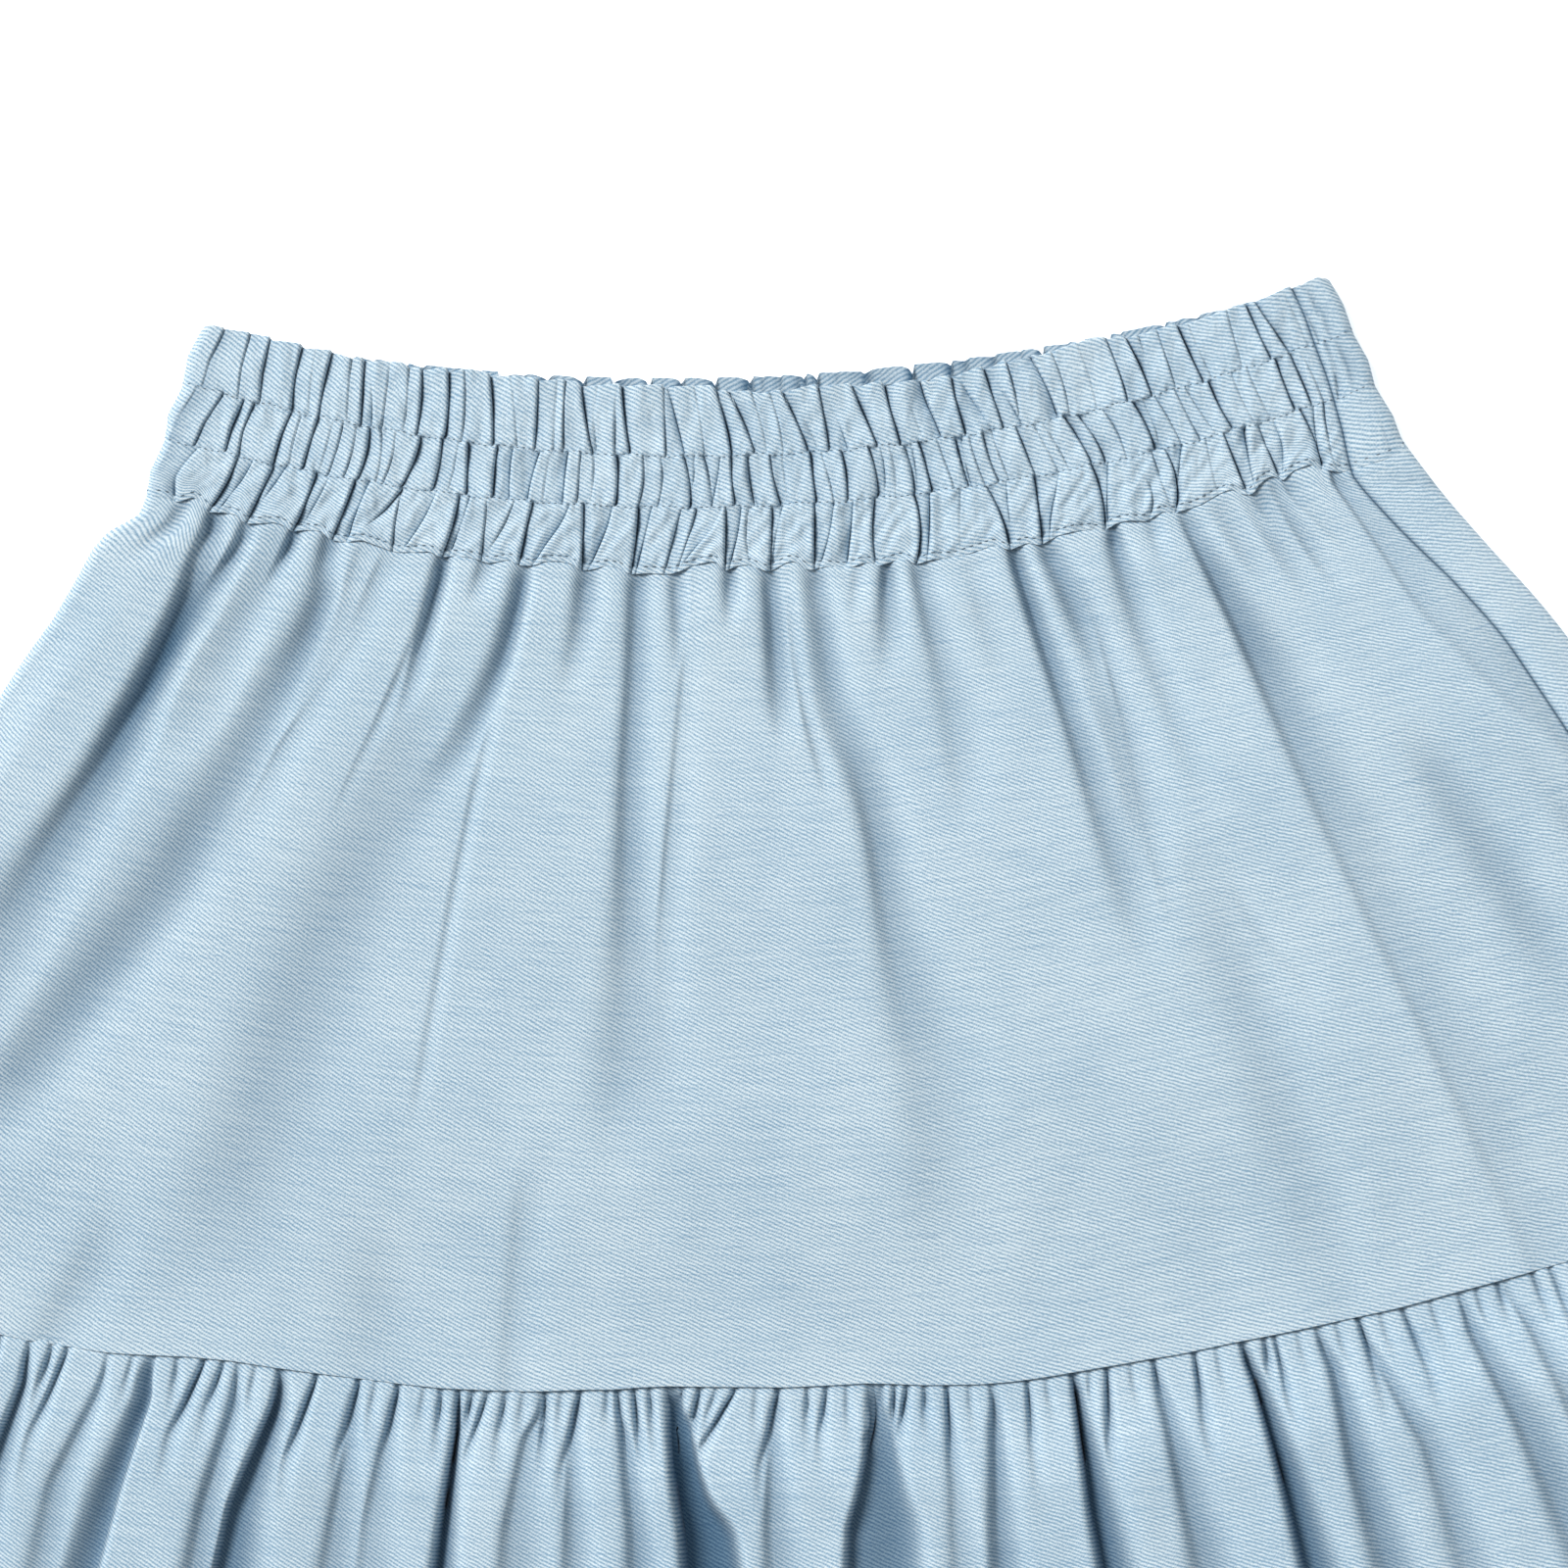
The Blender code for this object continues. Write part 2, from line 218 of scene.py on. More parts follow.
def soft_noise(u, v, cell_u, cell_v, seed):
    """Smooth random relief between -1 and 1, with cells of the given size in metres."""
    table = np.random.default_rng(seed).uniform(-1, 1, NOISE_TABLE)
    x = u / cell_u + NOISE_START[0]
    y = v / cell_v + NOISE_START[1]
    i = np.floor(x).astype(int)
    j = np.floor(y).astype(int)
    fx = ease(x - i)
    fy = ease(y - j)
    table_wide, table_high = NOISE_TABLE
    here, beside = i % table_wide, (i + 1) % table_wide
    above, below = j % table_high, (j + 1) % table_high
    low = table[here, above] * (1 - fx) + table[beside, above] * fx
    high = table[here, below] * (1 - fx) + table[beside, below] * fx
    return low * (1 - fy) + high * fy


def roughened(level, along, down, layers, fade=1.0):
    """A level with soft noise on it, one layer per (height, cell along, cell down, seed), in mm."""
    for height, cell_along, cell_down, seed in layers:
        relief = soft_noise(along, down, cell_along * MM, cell_down * MM, seed)
        level = level + height * MM * relief * fade
    return level


print("noise at three points:", soft_noise(np.array((0.0, 0.01, 0.02)), np.zeros(3), 9 * MM, 9 * MM, 3))


# %% [markdown]
# ## Creases of the waistband
# The band is cloth sewn to elastic in rows. Each row holds it down, and between the rows it
# puffs up in plates that don't line up from one channel to the next. One line below is one
# crease: the places of its lip at the top and bottom of the channel, in thousandths of the
# half width, then its two depths and its width in mm. Most lips have their hollow on the
# right. A width below 0 turns one round. A small bend keeps the creases from being straight.

# %% Top and middle channel
def in_shares(rows, *columns):
    """Table rows with the places in some columns turned from thousandths into shares."""
    return [[value / 1000 if k in columns else value for k, value in enumerate(row)] for row in rows]


def bent(rows, bend):
    """Gives nearly straight creases a middle place, a little to one side, and a second width."""
    creases = []
    for number, (top, bottom, deep_top, deep_bottom, width) in enumerate(in_shares(rows, 0, 1)):
        middle = (top + bottom) / 2 + bend * (0.3 + math.sin(31 * number))
        creases.append((top, middle, bottom, deep_top, deep_bottom, width, width))
    return creases


#   at_top  at_bottom  deep_top  deep_bottom  width
TOP_CHANNEL = bent((
    (-966, -970, 4.2, 3.4, 1.8), (-924, -911, 2.6, 0.8, 2.6), (-887, -874, 3.2, 3, 2.2),
    (-829, -819, 3.4, 3.8, 2), (-802, -788, 0.5, 0.9, 1.5), (-775, -772, 3.8, 3.4, 2),
    (-738, -722, 1.5, 0.8, 1.6), (-716, -699, 4.6, 4.2, 1.5), (-670, -663, 0.2, 2.2, 2.2),
    (-636, -625, 1.8, 0.5, 1.5), (-613, -603, 4, 3.8, 1.8), (-566, -555, 4.6, 4.4, 1.4),
    (-538, -525, 1.8, 1.4, 2.6), (-492, -472, 4.6, 4.2, 1.5), (-455, -430, 0.6, 1, 1.2),
    (-406, -401, 3, 3.4, 2.8), (-372, -369, 0.6, 1.8, 1.6), (-358, -352, 2.6, 3, 4.2),
    (-330, -302, 4.6, 4, 2), (-300, -302, 0.4, 1.2, 2.4), (-266, -264, 0.3, 2.4, 1.4),
    (-259, -239, 4.6, 4.6, 1.5), (-184, -178, 2.6, 2.4, 4.6), (-172, -141, 3, 4.2, -2.6),
    (-130, -112, 0.8, 1.2, 3), (-92, -67, 4.6, 4.6, 1.5), (-70, -27, 3.6, 3.8, 2.6),
    (-30, -6, 1.6, 0.8, 3), (3, 22, 1.4, 1.2, 3.4), (25, 63, 4.2, 4.2, 2.2), (88, 99, 4.2, 3.2, 2.6),
    (147, 181, 4.8, 4.6, 1.5), (204, 220, 4.4, 4.2, 1.6), (237, 262, 0.3, 0.9, 3),
    (273, 296, 4.4, 4.6, -2.6), (322, 332, 4.2, 4.2, 2.2), (338, 383, 2.2, 2.2, -2.4),
    (381, 397, 4.4, 3.2, 2.8), (392, 435, 1.2, 3, -3), (423, 427, 2.8, 1.6, 3.6),
    (472, 497, 4.2, 3.8, -3), (505, 512, 1.8, 1.2, 2.8), (552, 560, 0.4, 0.8, 3), (603, 612, 2.6, 3, 3.6),
    (638, 655, 5, 4.4, 2), (660, 668, 1.6, 0.4, 2), (695, 698, 2, 1.6, 4), (731, 746, 5, 4.4, 1.8),
    (752, 763, 0.9, 1.6, 1.4), (820, 815, 1.4, 1.2, 3.4), (851, 859, 3.8, 3.8, 1.3),
    (866, 889, 4.6, 3.4, 2), (916, 922, 0.4, 1.4, 2), (933, 941, 3.4, 3.4, 1.2),
    (949, 958, 3.8, 3.6, 1.8), (982, 985, 1, 1.4, 2), (-703, -676, 0.2, 3, -2), (34, 86, 0.2, 2.6, -2.6),
    (98, 136, 0.6, 2.8, -3), (-312, -291, -0.6, 2.8, -1.6),
), 0.003)
MIDDLE_CHANNEL = bent((
    (-978, -990, 3.4, 3.2, 2.6), (-938, -956, 3.2, 3.6, 2.2), (-902, -906, 4, 4, 1.6),
    (-883, -884, 3.4, 2.4, 2.2), (-818, -827, 3.8, 4.2, 1.3), (-800, -800, 1, 1.2, 2.6),
    (-772, -779, 3.6, 3.6, 1.3), (-745, -750, 0.8, 0.8, 1.8), (-728, -736, 1.4, 2, 2.6),
    (-705, -710, 1.4, 1.6, 1.6), (-684, -687, 4.2, 4.4, 1.8), (-664, -656, 2, 0.6, 1.8),
    (-638, -645, 0.8, 1.6, 2.2), (-595, -614, 4.6, 4.4, 1.8), (-559, -562, 3.8, 3.2, 2.6),
    (-530, -536, 1, 1.2, 1.8), (-514, -506, 4.2, 4.2, 1.8), (-464, -462, 4.4, 4.2, 1.7),
    (-433, -430, 2.2, 3, -2.6), (-387, -400, 3.2, 2.2, -2.6), (-372, -378, 0.6, 1, 1.6),
    (-339, -342, 3, 3.6, -2.6), (-322, -323, 2, 1.8, 2.8), (-300, -300, 2, 0.6, 1.8),
    (-262, -260, 4.4, 4.4, 1.3), (-217, -222, 2.4, 2, 3.4), (-187, -190, 1.8, 1.8, 4.2),
    (-149, -137, 3, 4, 1.8), (-126, -137, 2.8, 1, -2), (-115, -100, 2.6, 2.6, 2.2),
    (-82, -97, 2.2, 2.4, -2), (-88, -86, 0.8, 1.2, 1.6), (-68, -63, 3.2, 3.6, 3), (-41, -30, 4.2, 3.8, 2),
    (-34, -20, 2.6, 3.4, -1.6), (-2, 13, 2.6, 3.4, 2.8), (20, 27, 1.2, 1.6, 4.2), (66, 71, 4.2, 4, 1.8),
    (85, 101, 1.4, 1.6, 2.4), (119, 122, 4.2, 4, 2.2), (165, 173, 3.6, 3.4, 2.8),
    (189, 188, 2.4, 2.2, -2.2), (200, 202, 0.8, 1.2, 2), (225, 233, 3.4, 3.6, 2.2),
    (242, 243, 2.8, 2.8, -1.8), (251, 262, 4.2, 4.2, 2.2), (282, 301, 2, 1.2, 1.8),
    (313, 324, 4.2, 4.4, 2), (329, 334, 3, 2.6, -1.8), (337, 352, 2.2, 1.8, 2.2), (360, 374, 2.8, 3, 2.4),
    (376, 392, 2.4, 1.6, 2.4), (418, 435, 3.2, 3, 3), (448, 474, 1.6, 1.2, 1.8),
    (462, 492, 1.4, 1.6, 2.2), (500, 529, 3.8, 4.2, 2.6), (525, 552, 3.8, 3.4, 2.6),
    (568, 588, 2.8, 1.2, 1.8), (620, 636, 4.2, 4.4, 2.8), (638, 646, 2.4, 2, 3), (660, 681, 2, 2.2, 2.4),
    (695, 713, 1.6, 2.4, 2.4), (713, 742, 2.2, 1.4, 1.8), (754, 769, 4.4, 4.2, 1.4),
    (795, 806, 1.4, 0.8, 1.8), (820, 832, 1.6, 0.8, 2), (865, 869, 3.8, 4, 1.6),
    (889, 896, 3.8, 3.8, 1.3), (906, 916, 0.2, 3, 1.5), (948, 940, 3.8, 3.8, 1.3),
    (962, 961, 3.4, 3.2, 2.2), (985, 985, 1, 1.4, 2),
), 0.004)
print("creases in the top and middle channel:", len(TOP_CHANNEL), len(MIDDLE_CHANNEL))


# %% [markdown]
# ## The lower channel
# Below the second row the gathers start to open towards the seam. The creases curve more
# there, so each has a place at the top, the middle and the bottom, and two widths.

# %% Lower channel
#   at_top  at_middle  at_bottom  deep_top  deep_bottom  width_top  width_bottom
LOWER_CHANNEL = in_shares((
    (-985, -988, -990, 2, 1.6, 2, 2.4), (-945, -960, -952, 2.2, 4.5, -1.6, -2.6),
    (-885, -890, -903, 3.4, 6.4, 1.6, 3.4), (-855, -868, -884, 1.4, 3.6, -2.4, -2),
    (-825, -834, -840, 4.6, 4.4, 1.8, 1.6), (-800, -820, -836, 2.4, 2, -2.2, -1.2),
    (-755, -760, -768, 3.8, 6.2, 1.6, 3), (-728, -740, -752, 1.2, 3, -2.2, -2),
    (-690, -697, -704, 4.6, 5, 1.8, 2.6), (-662, -672, -674, 2, 3, -1.8, -1.4),
    (-610, -640, -668, 5, -1.4, 1.4, 1), (-612, -612, -606, 1.6, 3, 2.2, 2.6),
    (-550, -566, -588, 2, 2.2, -2, -1.6), (-517, -520, -528, 3, 6.4, 1.6, 3.2),
    (-495, -503, -512, 1.8, 3, -1.6, -1.4), (-425, -442, -466, 1.8, 1.2, 2.2, 2.4),
    (-470, -468, -466, 0.2, 4.4, 2.6, 4), (-395, -402, -406, 4.4, 5, 1.4, 2.4),
    (-330, -352, -380, 1.6, 3.8, -3.4, -2.6), (-312, -309, -307, 3, 6.2, 1.8, 2.8),
    (-260, -272, -292, 2, 4.4, -2.6, -2.2), (-222, -224, -229, 4.2, 6.4, 2, 2.6),
    (-195, -206, -216, 1.8, 4.6, -1.8, -1.6), (-150, -164, -176, 1.6, 3.4, 2, 3.4),
    (-126, -140, -157, 2.8, 1.6, 1.6, 1.4), (-80, -108, -152, 1.4, 2, -3, -1.4),
    (-78, -79, -81, 2.8, 6.2, 3, 2.4), (-48, -56, -69, 2.4, 4.4, -1.6, -1.4),
    (-40, -46, -38, 2.2, 0.8, 1.6, 1.6), (-2, -5, -10, 3, 5.4, 1.6, 2.6),
    (20, 6, -1, 2.2, 2.6, -1.8, -1.4), (68, 64, 60, 3.4, 5.8, 2.4, 2.6),
    (104, 92, 73, 1.6, 3.2, -2.6, -1.6), (136, 127, 115, 2.2, 4.2, -1.6, -2.2),
    (168, 158, 157, 3.2, 3.8, 2.4, 2.6), (232, 235, 219, 4.4, 5.2, 1.8, 2),
    (262, 255, 242, 3.4, 3.6, -2.2, -1.8), (310, 300, 292, 1, 0.2, 2, 2), (352, 367, 369, 3.4, 6, 1.8, 2),
    (390, 384, 380, 1.2, 3.2, -1.8, -1.6), (432, 428, 420, 4, 6, 2, 2.8),
    (478, 456, 438, 1.6, 3.8, -3.2, -1.8), (528, 532, 522, 3.4, 6.2, 1.8, 1.8),
    (560, 546, 534, 2.4, 3.4, -2.4, -1.2), (585, 612, 594, -0.5, 3, 1.4, 2.4),
    (630, 632, 634, 2, 1, 1.8, 1.6), (652, 655, 637, 3.6, 5.2, 1.8, 1.2),
    (686, 663, 646, 2.6, 1.8, -2.4, -1.2), (722, 716, 712, 1.4, 0.4, 2.4, 2),
    (752, 754, 754, 3.2, 4.6, 2.4, 3.4), (792, 782, 774, 4.4, 2.4, -1.8, -2),
    (808, 811, 813, 2.2, 3.6, 2.2, 2), (836, 838, 822, 1.6, 3, -1.8, -1.6),
    (876, 886, 888, 3.4, 5.4, 1.5, 1.4), (902, 894, 893, 2.6, 3.6, -1.6, -0.9),
    (915, 908, 912, 3, 0.8, 1.6, 1.6), (972, 979, 974, 0.6, 2.6, 2.2, 2.4),
), 0, 1, 2)
CHANNELS = (TOP_CHANNEL, MIDDLE_CHANNEL, LOWER_CHANNEL)
print("creases in the lower channel:", len(LOWER_CHANNEL))


# %% [markdown]
# ## Sewing the channels
# The two casing rows keep the elastic in place. They bow and waver a little, as hand-guided
# seams do. About half the depth of a crease is its gentle run, and the other half a narrow
# slit, where two plates touch and little light gets in. The lip in front of it is raised.

# %% Depth of a channel
ROW_ONE = 21 * MM
ROW_ONE_BOW = 3.6 * MM
ROW_TWO = 36.6 * MM
ROW_TWO_BOW = 1.2 * MM
ROW_WAVER = 0.30 * MM
ROW_RIPPLE = 0.22 * MM
BAND_WALL = 0.27 * MM
RUN_SHARE = 0.42
RUN_LENGTH = 1.25
RUN_SHADE = 1.5
UNEVEN = 0.22
UNEVEN_WAVES = 6.5
UNEVEN_STEP = 2.4
SLIT_SHARE = 0.4
SLIT_SHADE = 0.30
SLIT_WIDTH = 0.44 * MM
SLIT_FULL = 5.0 * MM
RIDGE = 0.15
RIDGE_PLACE = 0.9 * MM
RIDGE_WIDTH = 1.2 * MM


def casing_rows(around):
    """How far down the top edge, the two stitched rows and the lower seam lie."""
    waver_one = ROW_WAVER * np.sin(around * 61) + ROW_RIPPLE * np.sin(around * 143 + 1)
    waver_two = ROW_WAVER * np.sin(around * 53 + 2) + ROW_RIPPLE * np.sin(around * 127)
    row_one = ROW_ONE - ROW_ONE_BOW * around ** 2 + waver_one
    row_two = ROW_TWO - ROW_TWO_BOW * around ** 2 + waver_two
    return 0.0 * around, row_one, row_two, BAND_SEAM + 0.0 * around


def crease_place(crease, share):
    """Where a crease lies at a share of its channel, on a curve through its three places."""
    top, middle, bottom = crease[:3]
    start = top * (1 - share) * (1 - 2 * share)
    return start + 4 * middle * share * (1 - share) + bottom * share * (2 * share - 1)


def channel_troughs(around, down, table, top, bottom, slits=1.0):
    """Depth, lean and painted shade of all the creases of one channel."""
    share = np.clip((down - top) / (bottom - top), -0.1, 1.1)
    half_width = outline(down, 1)
    cubes, lean, painted_shade, ridge = np.zeros((4, *np.broadcast(around, down).shape))
    for number, crease in enumerate(table):
        deep_top, deep_bottom, width_top, width_bottom = crease[3:]
        side = 1 if width_top > 0 else -1
        uneven = 1 + UNEVEN * np.sin(UNEVEN_WAVES * share + UNEVEN_STEP * number)
        depth = np.maximum((deep_top + (deep_bottom - deep_top) * share) * uneven, 0) * MM
        run = RUN_LENGTH * np.abs(width_top + (width_bottom - width_top) * share) * MM
        away = side * (around - crease_place(crease, share)) * half_width
        part, push = trough(away, RUN_SHARE * depth, BAND_WALL, run)
        past = away - BAND_WALL
        full = np.minimum(depth / SLIT_FULL, 1)
        width = SLIT_WIDTH * (0.4 + 0.6 * full)
        slit = slits * np.exp(-(past / np.where(past < 0, 0.5 * width, width)) ** 2)
        cubes += (part + SLIT_SHARE * depth * slit) ** 3
        raised = np.exp(-((away + RIDGE_PLACE) / RIDGE_WIDTH) ** 2)
        ridge = np.maximum(ridge, RIDGE * RUN_SHARE * depth * raised)
        lean += side * push
        # Painted shade: the run and the slit of each crease darken the cloth's colour later.
        painted_shade = np.maximum(painted_shade, painted_shade_at(RUN_SHADE * part) + SLIT_SHADE * full ** 1.5 * slit)
    return np.cbrt(cubes) - ridge, lean, painted_shade


def inside_channel(down, rows, k, blend):
    """1 inside a channel, going softly to 0 across the stitched rows beside it."""
    enter = ease((down - rows[k]) / blend + 0.5) if k > 0 else 1.0
    leave = ease((rows[k + 1] - down) / blend + 0.5) if k < 2 else 1.0
    return enter * leave


print("rows at the middle of the band:", [float(row) for row in casing_rows(np.array(0.0))])


# %% [markdown]
# ## Edges of the waistband
# Gathered edges are not straight. The seam below the band arches up over each plate and
# comes down to a cusp at each deep crease, and the waist edge rises and falls with the
# gathers. Both lines are tables of places and of mm below the level line.

# %% Lower and upper edge
CORNER = 0.004
#   around  mm_lower
SEAM_EDGE = np.array(in_shares((
    (-1000, -2.6), (-975, -4), (-950, -3.4), (-930, -6.2), (-915, -5), (-900, -2.6), (-875, -3.6),
    (-855, -3.7), (-840, -1.6), (-820, -2.4), (-795, -3.8), (-778, -3.2), (-766, -1.9), (-750, -3),
    (-720, -3.7), (-704, -1.5), (-680, -1.4), (-655, -3), (-630, -2), (-600, -0.7), (-570, -1.4),
    (-545, -2.3), (-527, -0.8), (-510, -1.6), (-480, -1.8), (-450, -0.5), (-420, -2.2), (-403, -0.7),
    (-380, -0.8), (-365, -2.3), (-345, -2.8), (-320, -2.2), (-307, -0.2), (-290, -0.6), (-265, -2),
    (-245, -1.4), (-228, 0.4), (-200, -0.1), (-165, 0.2), (-145, -1), (-130, -2.5), (-100, -3.7),
    (-90, -3.5), (-80, -0.3), (-60, -2.2), (-40, -2.4), (-10, 0), (5, -1.2), (20, -2.8), (35, -2.8),
    (53, 0.2), (80, -0.7), (110, 0.6), (140, -0.9), (150, -0.8), (163, 0.5), (195, -1), (210, -0.7),
    (220, 1.2), (250, 0.1), (285, 0.6), (330, -1), (350, -1.7), (370, 0.6), (400, -0.8), (420, 0.6),
    (450, -1.4), (475, -1.8), (500, -1.4), (523, -0.1), (545, -1.8), (565, -1.8), (590, -0.4),
    (620, -2.2), (637, -0.9), (680, -1.5), (715, -3.4), (735, -3.8), (750, -1), (765, -0.6), (780, -3),
    (800, -4.4), (810, -4), (817, -1.8), (840, -4), (865, -4.4), (878, -4), (884, -1.4), (900, -1),
    (915, 0.6), (925, 1), (960, 1.2), (975, 1.2), (1000, 0),
), 0))
TOP_EDGE = np.array(in_shares((
    (-1000, 0.4), (-985, -1.6), (-950, -1.8), (-920, -2), (-887, -2.4), (-880, -1.4), (-830, -1.9),
    (-820, -1.2), (-777, -1.8), (-768, -1.1), (-740, -0.6), (-720, -1.5), (-705, -0.7), (-650, -1.9),
    (-630, -0.4), (-615, -1), (-605, -0.4), (-570, -1.9), (-558, -0.8), (-530, -2.3), (-495, -1.8),
    (-485, -0.9), (-410, -1.7), (-400, -0.9), (-360, -1.4), (-335, -0.9), (-325, 0.2), (-290, -0.2),
    (-262, -0.9), (-250, -0.2), (-200, -0.9), (-185, -1.1), (-178, 0.2), (-165, -0.5), (-100, -0.5),
    (-88, 0.6), (-70, 0.8), (-30, 1.3), (-10, 2.2), (20, 1.4), (32, 2.1), (50, 1.5), (85, 0.4), (95, 1.3),
    (140, 0.6), (155, 1.4), (165, 2.1), (200, 1.1), (212, 2.4), (260, 1.8), (270, 2.2), (285, 3.1),
    (300, 2), (320, 1.8), (335, 2.4), (380, 0.4), (390, 1.2), (420, 0), (430, 0.6), (470, -0.7),
    (480, 0.2), (500, -0.3), (550, -1.6), (600, -1.5), (610, -0.8), (635, -0.7), (645, 0.2), (700, 0),
    (730, -0.2), (740, 0.6), (800, 0), (850, -0.7), (860, 0), (900, -0.8), (930, -1.6), (940, -1),
    (982, -1.2), (1000, 1.4),
), 0))


def seam_wave(around):
    """How far down the lower edge of the band lies, with its corners taken off a little."""
    steps = (-CORNER, 0, CORNER)
    return sum(np.interp(around + step, *SEAM_EDGE.T) for step in steps) * MM / len(steps)


print("lower edge at the middle, in mm:", float(seam_wave(0.0) / MM))


# %% [markdown]
# ## Waistband relief
# All of that comes together here. The plates stand up from the elastic and the rows of
# stitching hold them down, each with tiny puckers that the thread draws into the cloth. Next
# to the seam the creases are pressed flatter, because there the cloth is turned and double.

# %% Relief of the waistband
BAND_LEVEL = 2.6 * MM
BAND_FLOOR = 2.6 * MM
ROW_SINK = 0.22 * MM
ROW_BLEND = 0.9 * MM
HELD_SHARE = 0.5
HELD_WIDTH = 0.65 * MM
DRAWN_WIDTH = 2.2 * MM
BORDER = 2.1 * MM
BORDER_FLATTER = 0.6
EDGE_ROW_WIDTH = 0.5 * MM
PUCKER_HEIGHT = 0.36 * MM
EDGE_PUCKER = 0.20 * MM
EDGE_SINK = 0.07 * MM
CROWD_BLEND = 3 * MM
BAND_REACH = 1.6 * MM
#    height  cell_along  cell_down  seed
BAND_NOISE = ((0.55, 9, 14, 3), (0.55, 3.2, 7, 4), (0.15, 1.3, 3, 9))
LOWER_NOISE = ((0.45, 2.6, 9, 17),)
UPPER_EDGE_NOISE = ((0.25, 4.5, 1000, 31),)


def puckers(along, down):
    """Tiny gathers that a row of stitching draws into the cloth, uneven above and below it."""
    fine = soft_noise(along, down, 0.9 * MM, 2.2 * MM, 21)
    return 0.9 * fine + 0.6 * soft_noise(along, down, 2.3 * MM, 4.0 * MM, 22)


def crowd_band(around, down):
    """Columns of the waistband, crowded towards the creases of each channel."""
    rows = casing_rows(around)
    half_width = outline(down, 1)
    moved = np.zeros(around.shape)
    for k, table in enumerate(CHANNELS):
        share = np.clip((down - rows[k]) / (rows[k + 1] - rows[k]), 0, 1)
        places = [crease_place(row, share) * half_width + math.copysign(BAND_WALL, row[5]) for row in table]
        strengths = [min(1.0, (row[3] + row[4]) / 6) for row in table]
        crowded = crowd(around * half_width, places, strengths, BAND_REACH) / half_width
        moved += (crowded - around) * inside_channel(down, rows, k, CROWD_BLEND)
    return around + moved


def band_relief(around, down):
    """Lift, shift, slide and painted shade of the front waistband."""
    rows = casing_rows(around)
    along = around * outline(down, 1)
    depth, shift, painted_shade = np.zeros((3, *along.shape))
    for k, table in enumerate(CHANNELS):
        part, lean, shade = channel_troughs(around, down, table, rows[k], rows[k + 1])
        inside = inside_channel(down, rows, k, ROW_BLEND)
        depth += part * inside
        shift += lean * inside
        painted_shade += shade * inside
    nearest = np.minimum(np.abs(down - rows[1]), np.abs(down - rows[2]))
    held = np.exp(-(nearest / HELD_WIDTH) ** 2)
    drawn = np.exp(-(nearest / DRAWN_WIDTH) ** 2)
    border = ease((down - BAND_SEAM + 1.3 * BORDER) / (0.5 * BORDER))
    edge_row = np.exp(-((down - BAND_SEAM + BORDER) / EDGE_ROW_WIDTH) ** 2)
    pucker = puckers(along, down)
    level = roughened(BAND_LEVEL, along, down, BAND_NOISE)
    lower = ease((down - rows[2]) / (4 * MM))
    level = roughened(level, along + 0.7 * down, down, LOWER_NOISE, lower)
    lift = level * (1 - 0.12 * border) - ROW_SINK * held
    lift = lift - depth * (1 - HELD_SHARE * held) * (1 - BORDER_FLATTER * border)
    lift += PUCKER_HEIGHT * pucker * drawn + (EDGE_PUCKER * pucker - EDGE_SINK) * edge_row
    lift = np.maximum(lift, -BAND_FLOOR)
    # Painted shade: less in the creases by the seam, a little along the rows, the edge row and the border,
    # and more in the dips of the puckers.
    painted_shade = painted_shade * (1 - 0.50 * border) + 0.03 * held + 0.02 * edge_row + 0.03 * border
    painted_shade += (0.12 * drawn + 0.16 * held) * np.maximum(-pucker, 0)
    slide = roughened(np.interp(around, *TOP_EDGE.T) * MM + 0.15 * depth, along, 0.0 * down, UPPER_EDGE_NOISE)
    slide = slide * (1 - ease(down / (17 * MM)))
    slide = slide + seam_wave(around) * ease((down - 40 * MM) / (17 * MM))
    return lift, shift * (1 - held), slide, np.clip(painted_shade, 0, 1)


def show_heights(name, relief, down):
    """Prints how high the cloth lies at nine places around."""
    lift = relief(np.linspace(-1, 1, 9), np.full(9, down))[0]
    print(name, "heights in mm:", (lift / MM).round(1))


show_heights("waistband", band_relief, 30 * MM)


# %% [markdown]
# ## Valleys of the first tier
# Below the band the gathers open into long soft valleys. Cloth simulation could drape them,
# but then none would fall where the real ones do. Each valley is a short list of points down
# its lip instead: mm down, its place in thousandths, its depth, and the widths of its wall
# and its run. A point without widths keeps those above it. A run below 0 lies on the left.

# %% Valleys of the first tier
def valley_points(points):
    """The points of one valley with its places as shares and all its widths filled in."""
    filled = []
    for down, around, depth, *widths in points:
        wall, run = widths or filled[-1][3:]
        filled.append((down, around / 1000, depth, wall, run))
    return filled


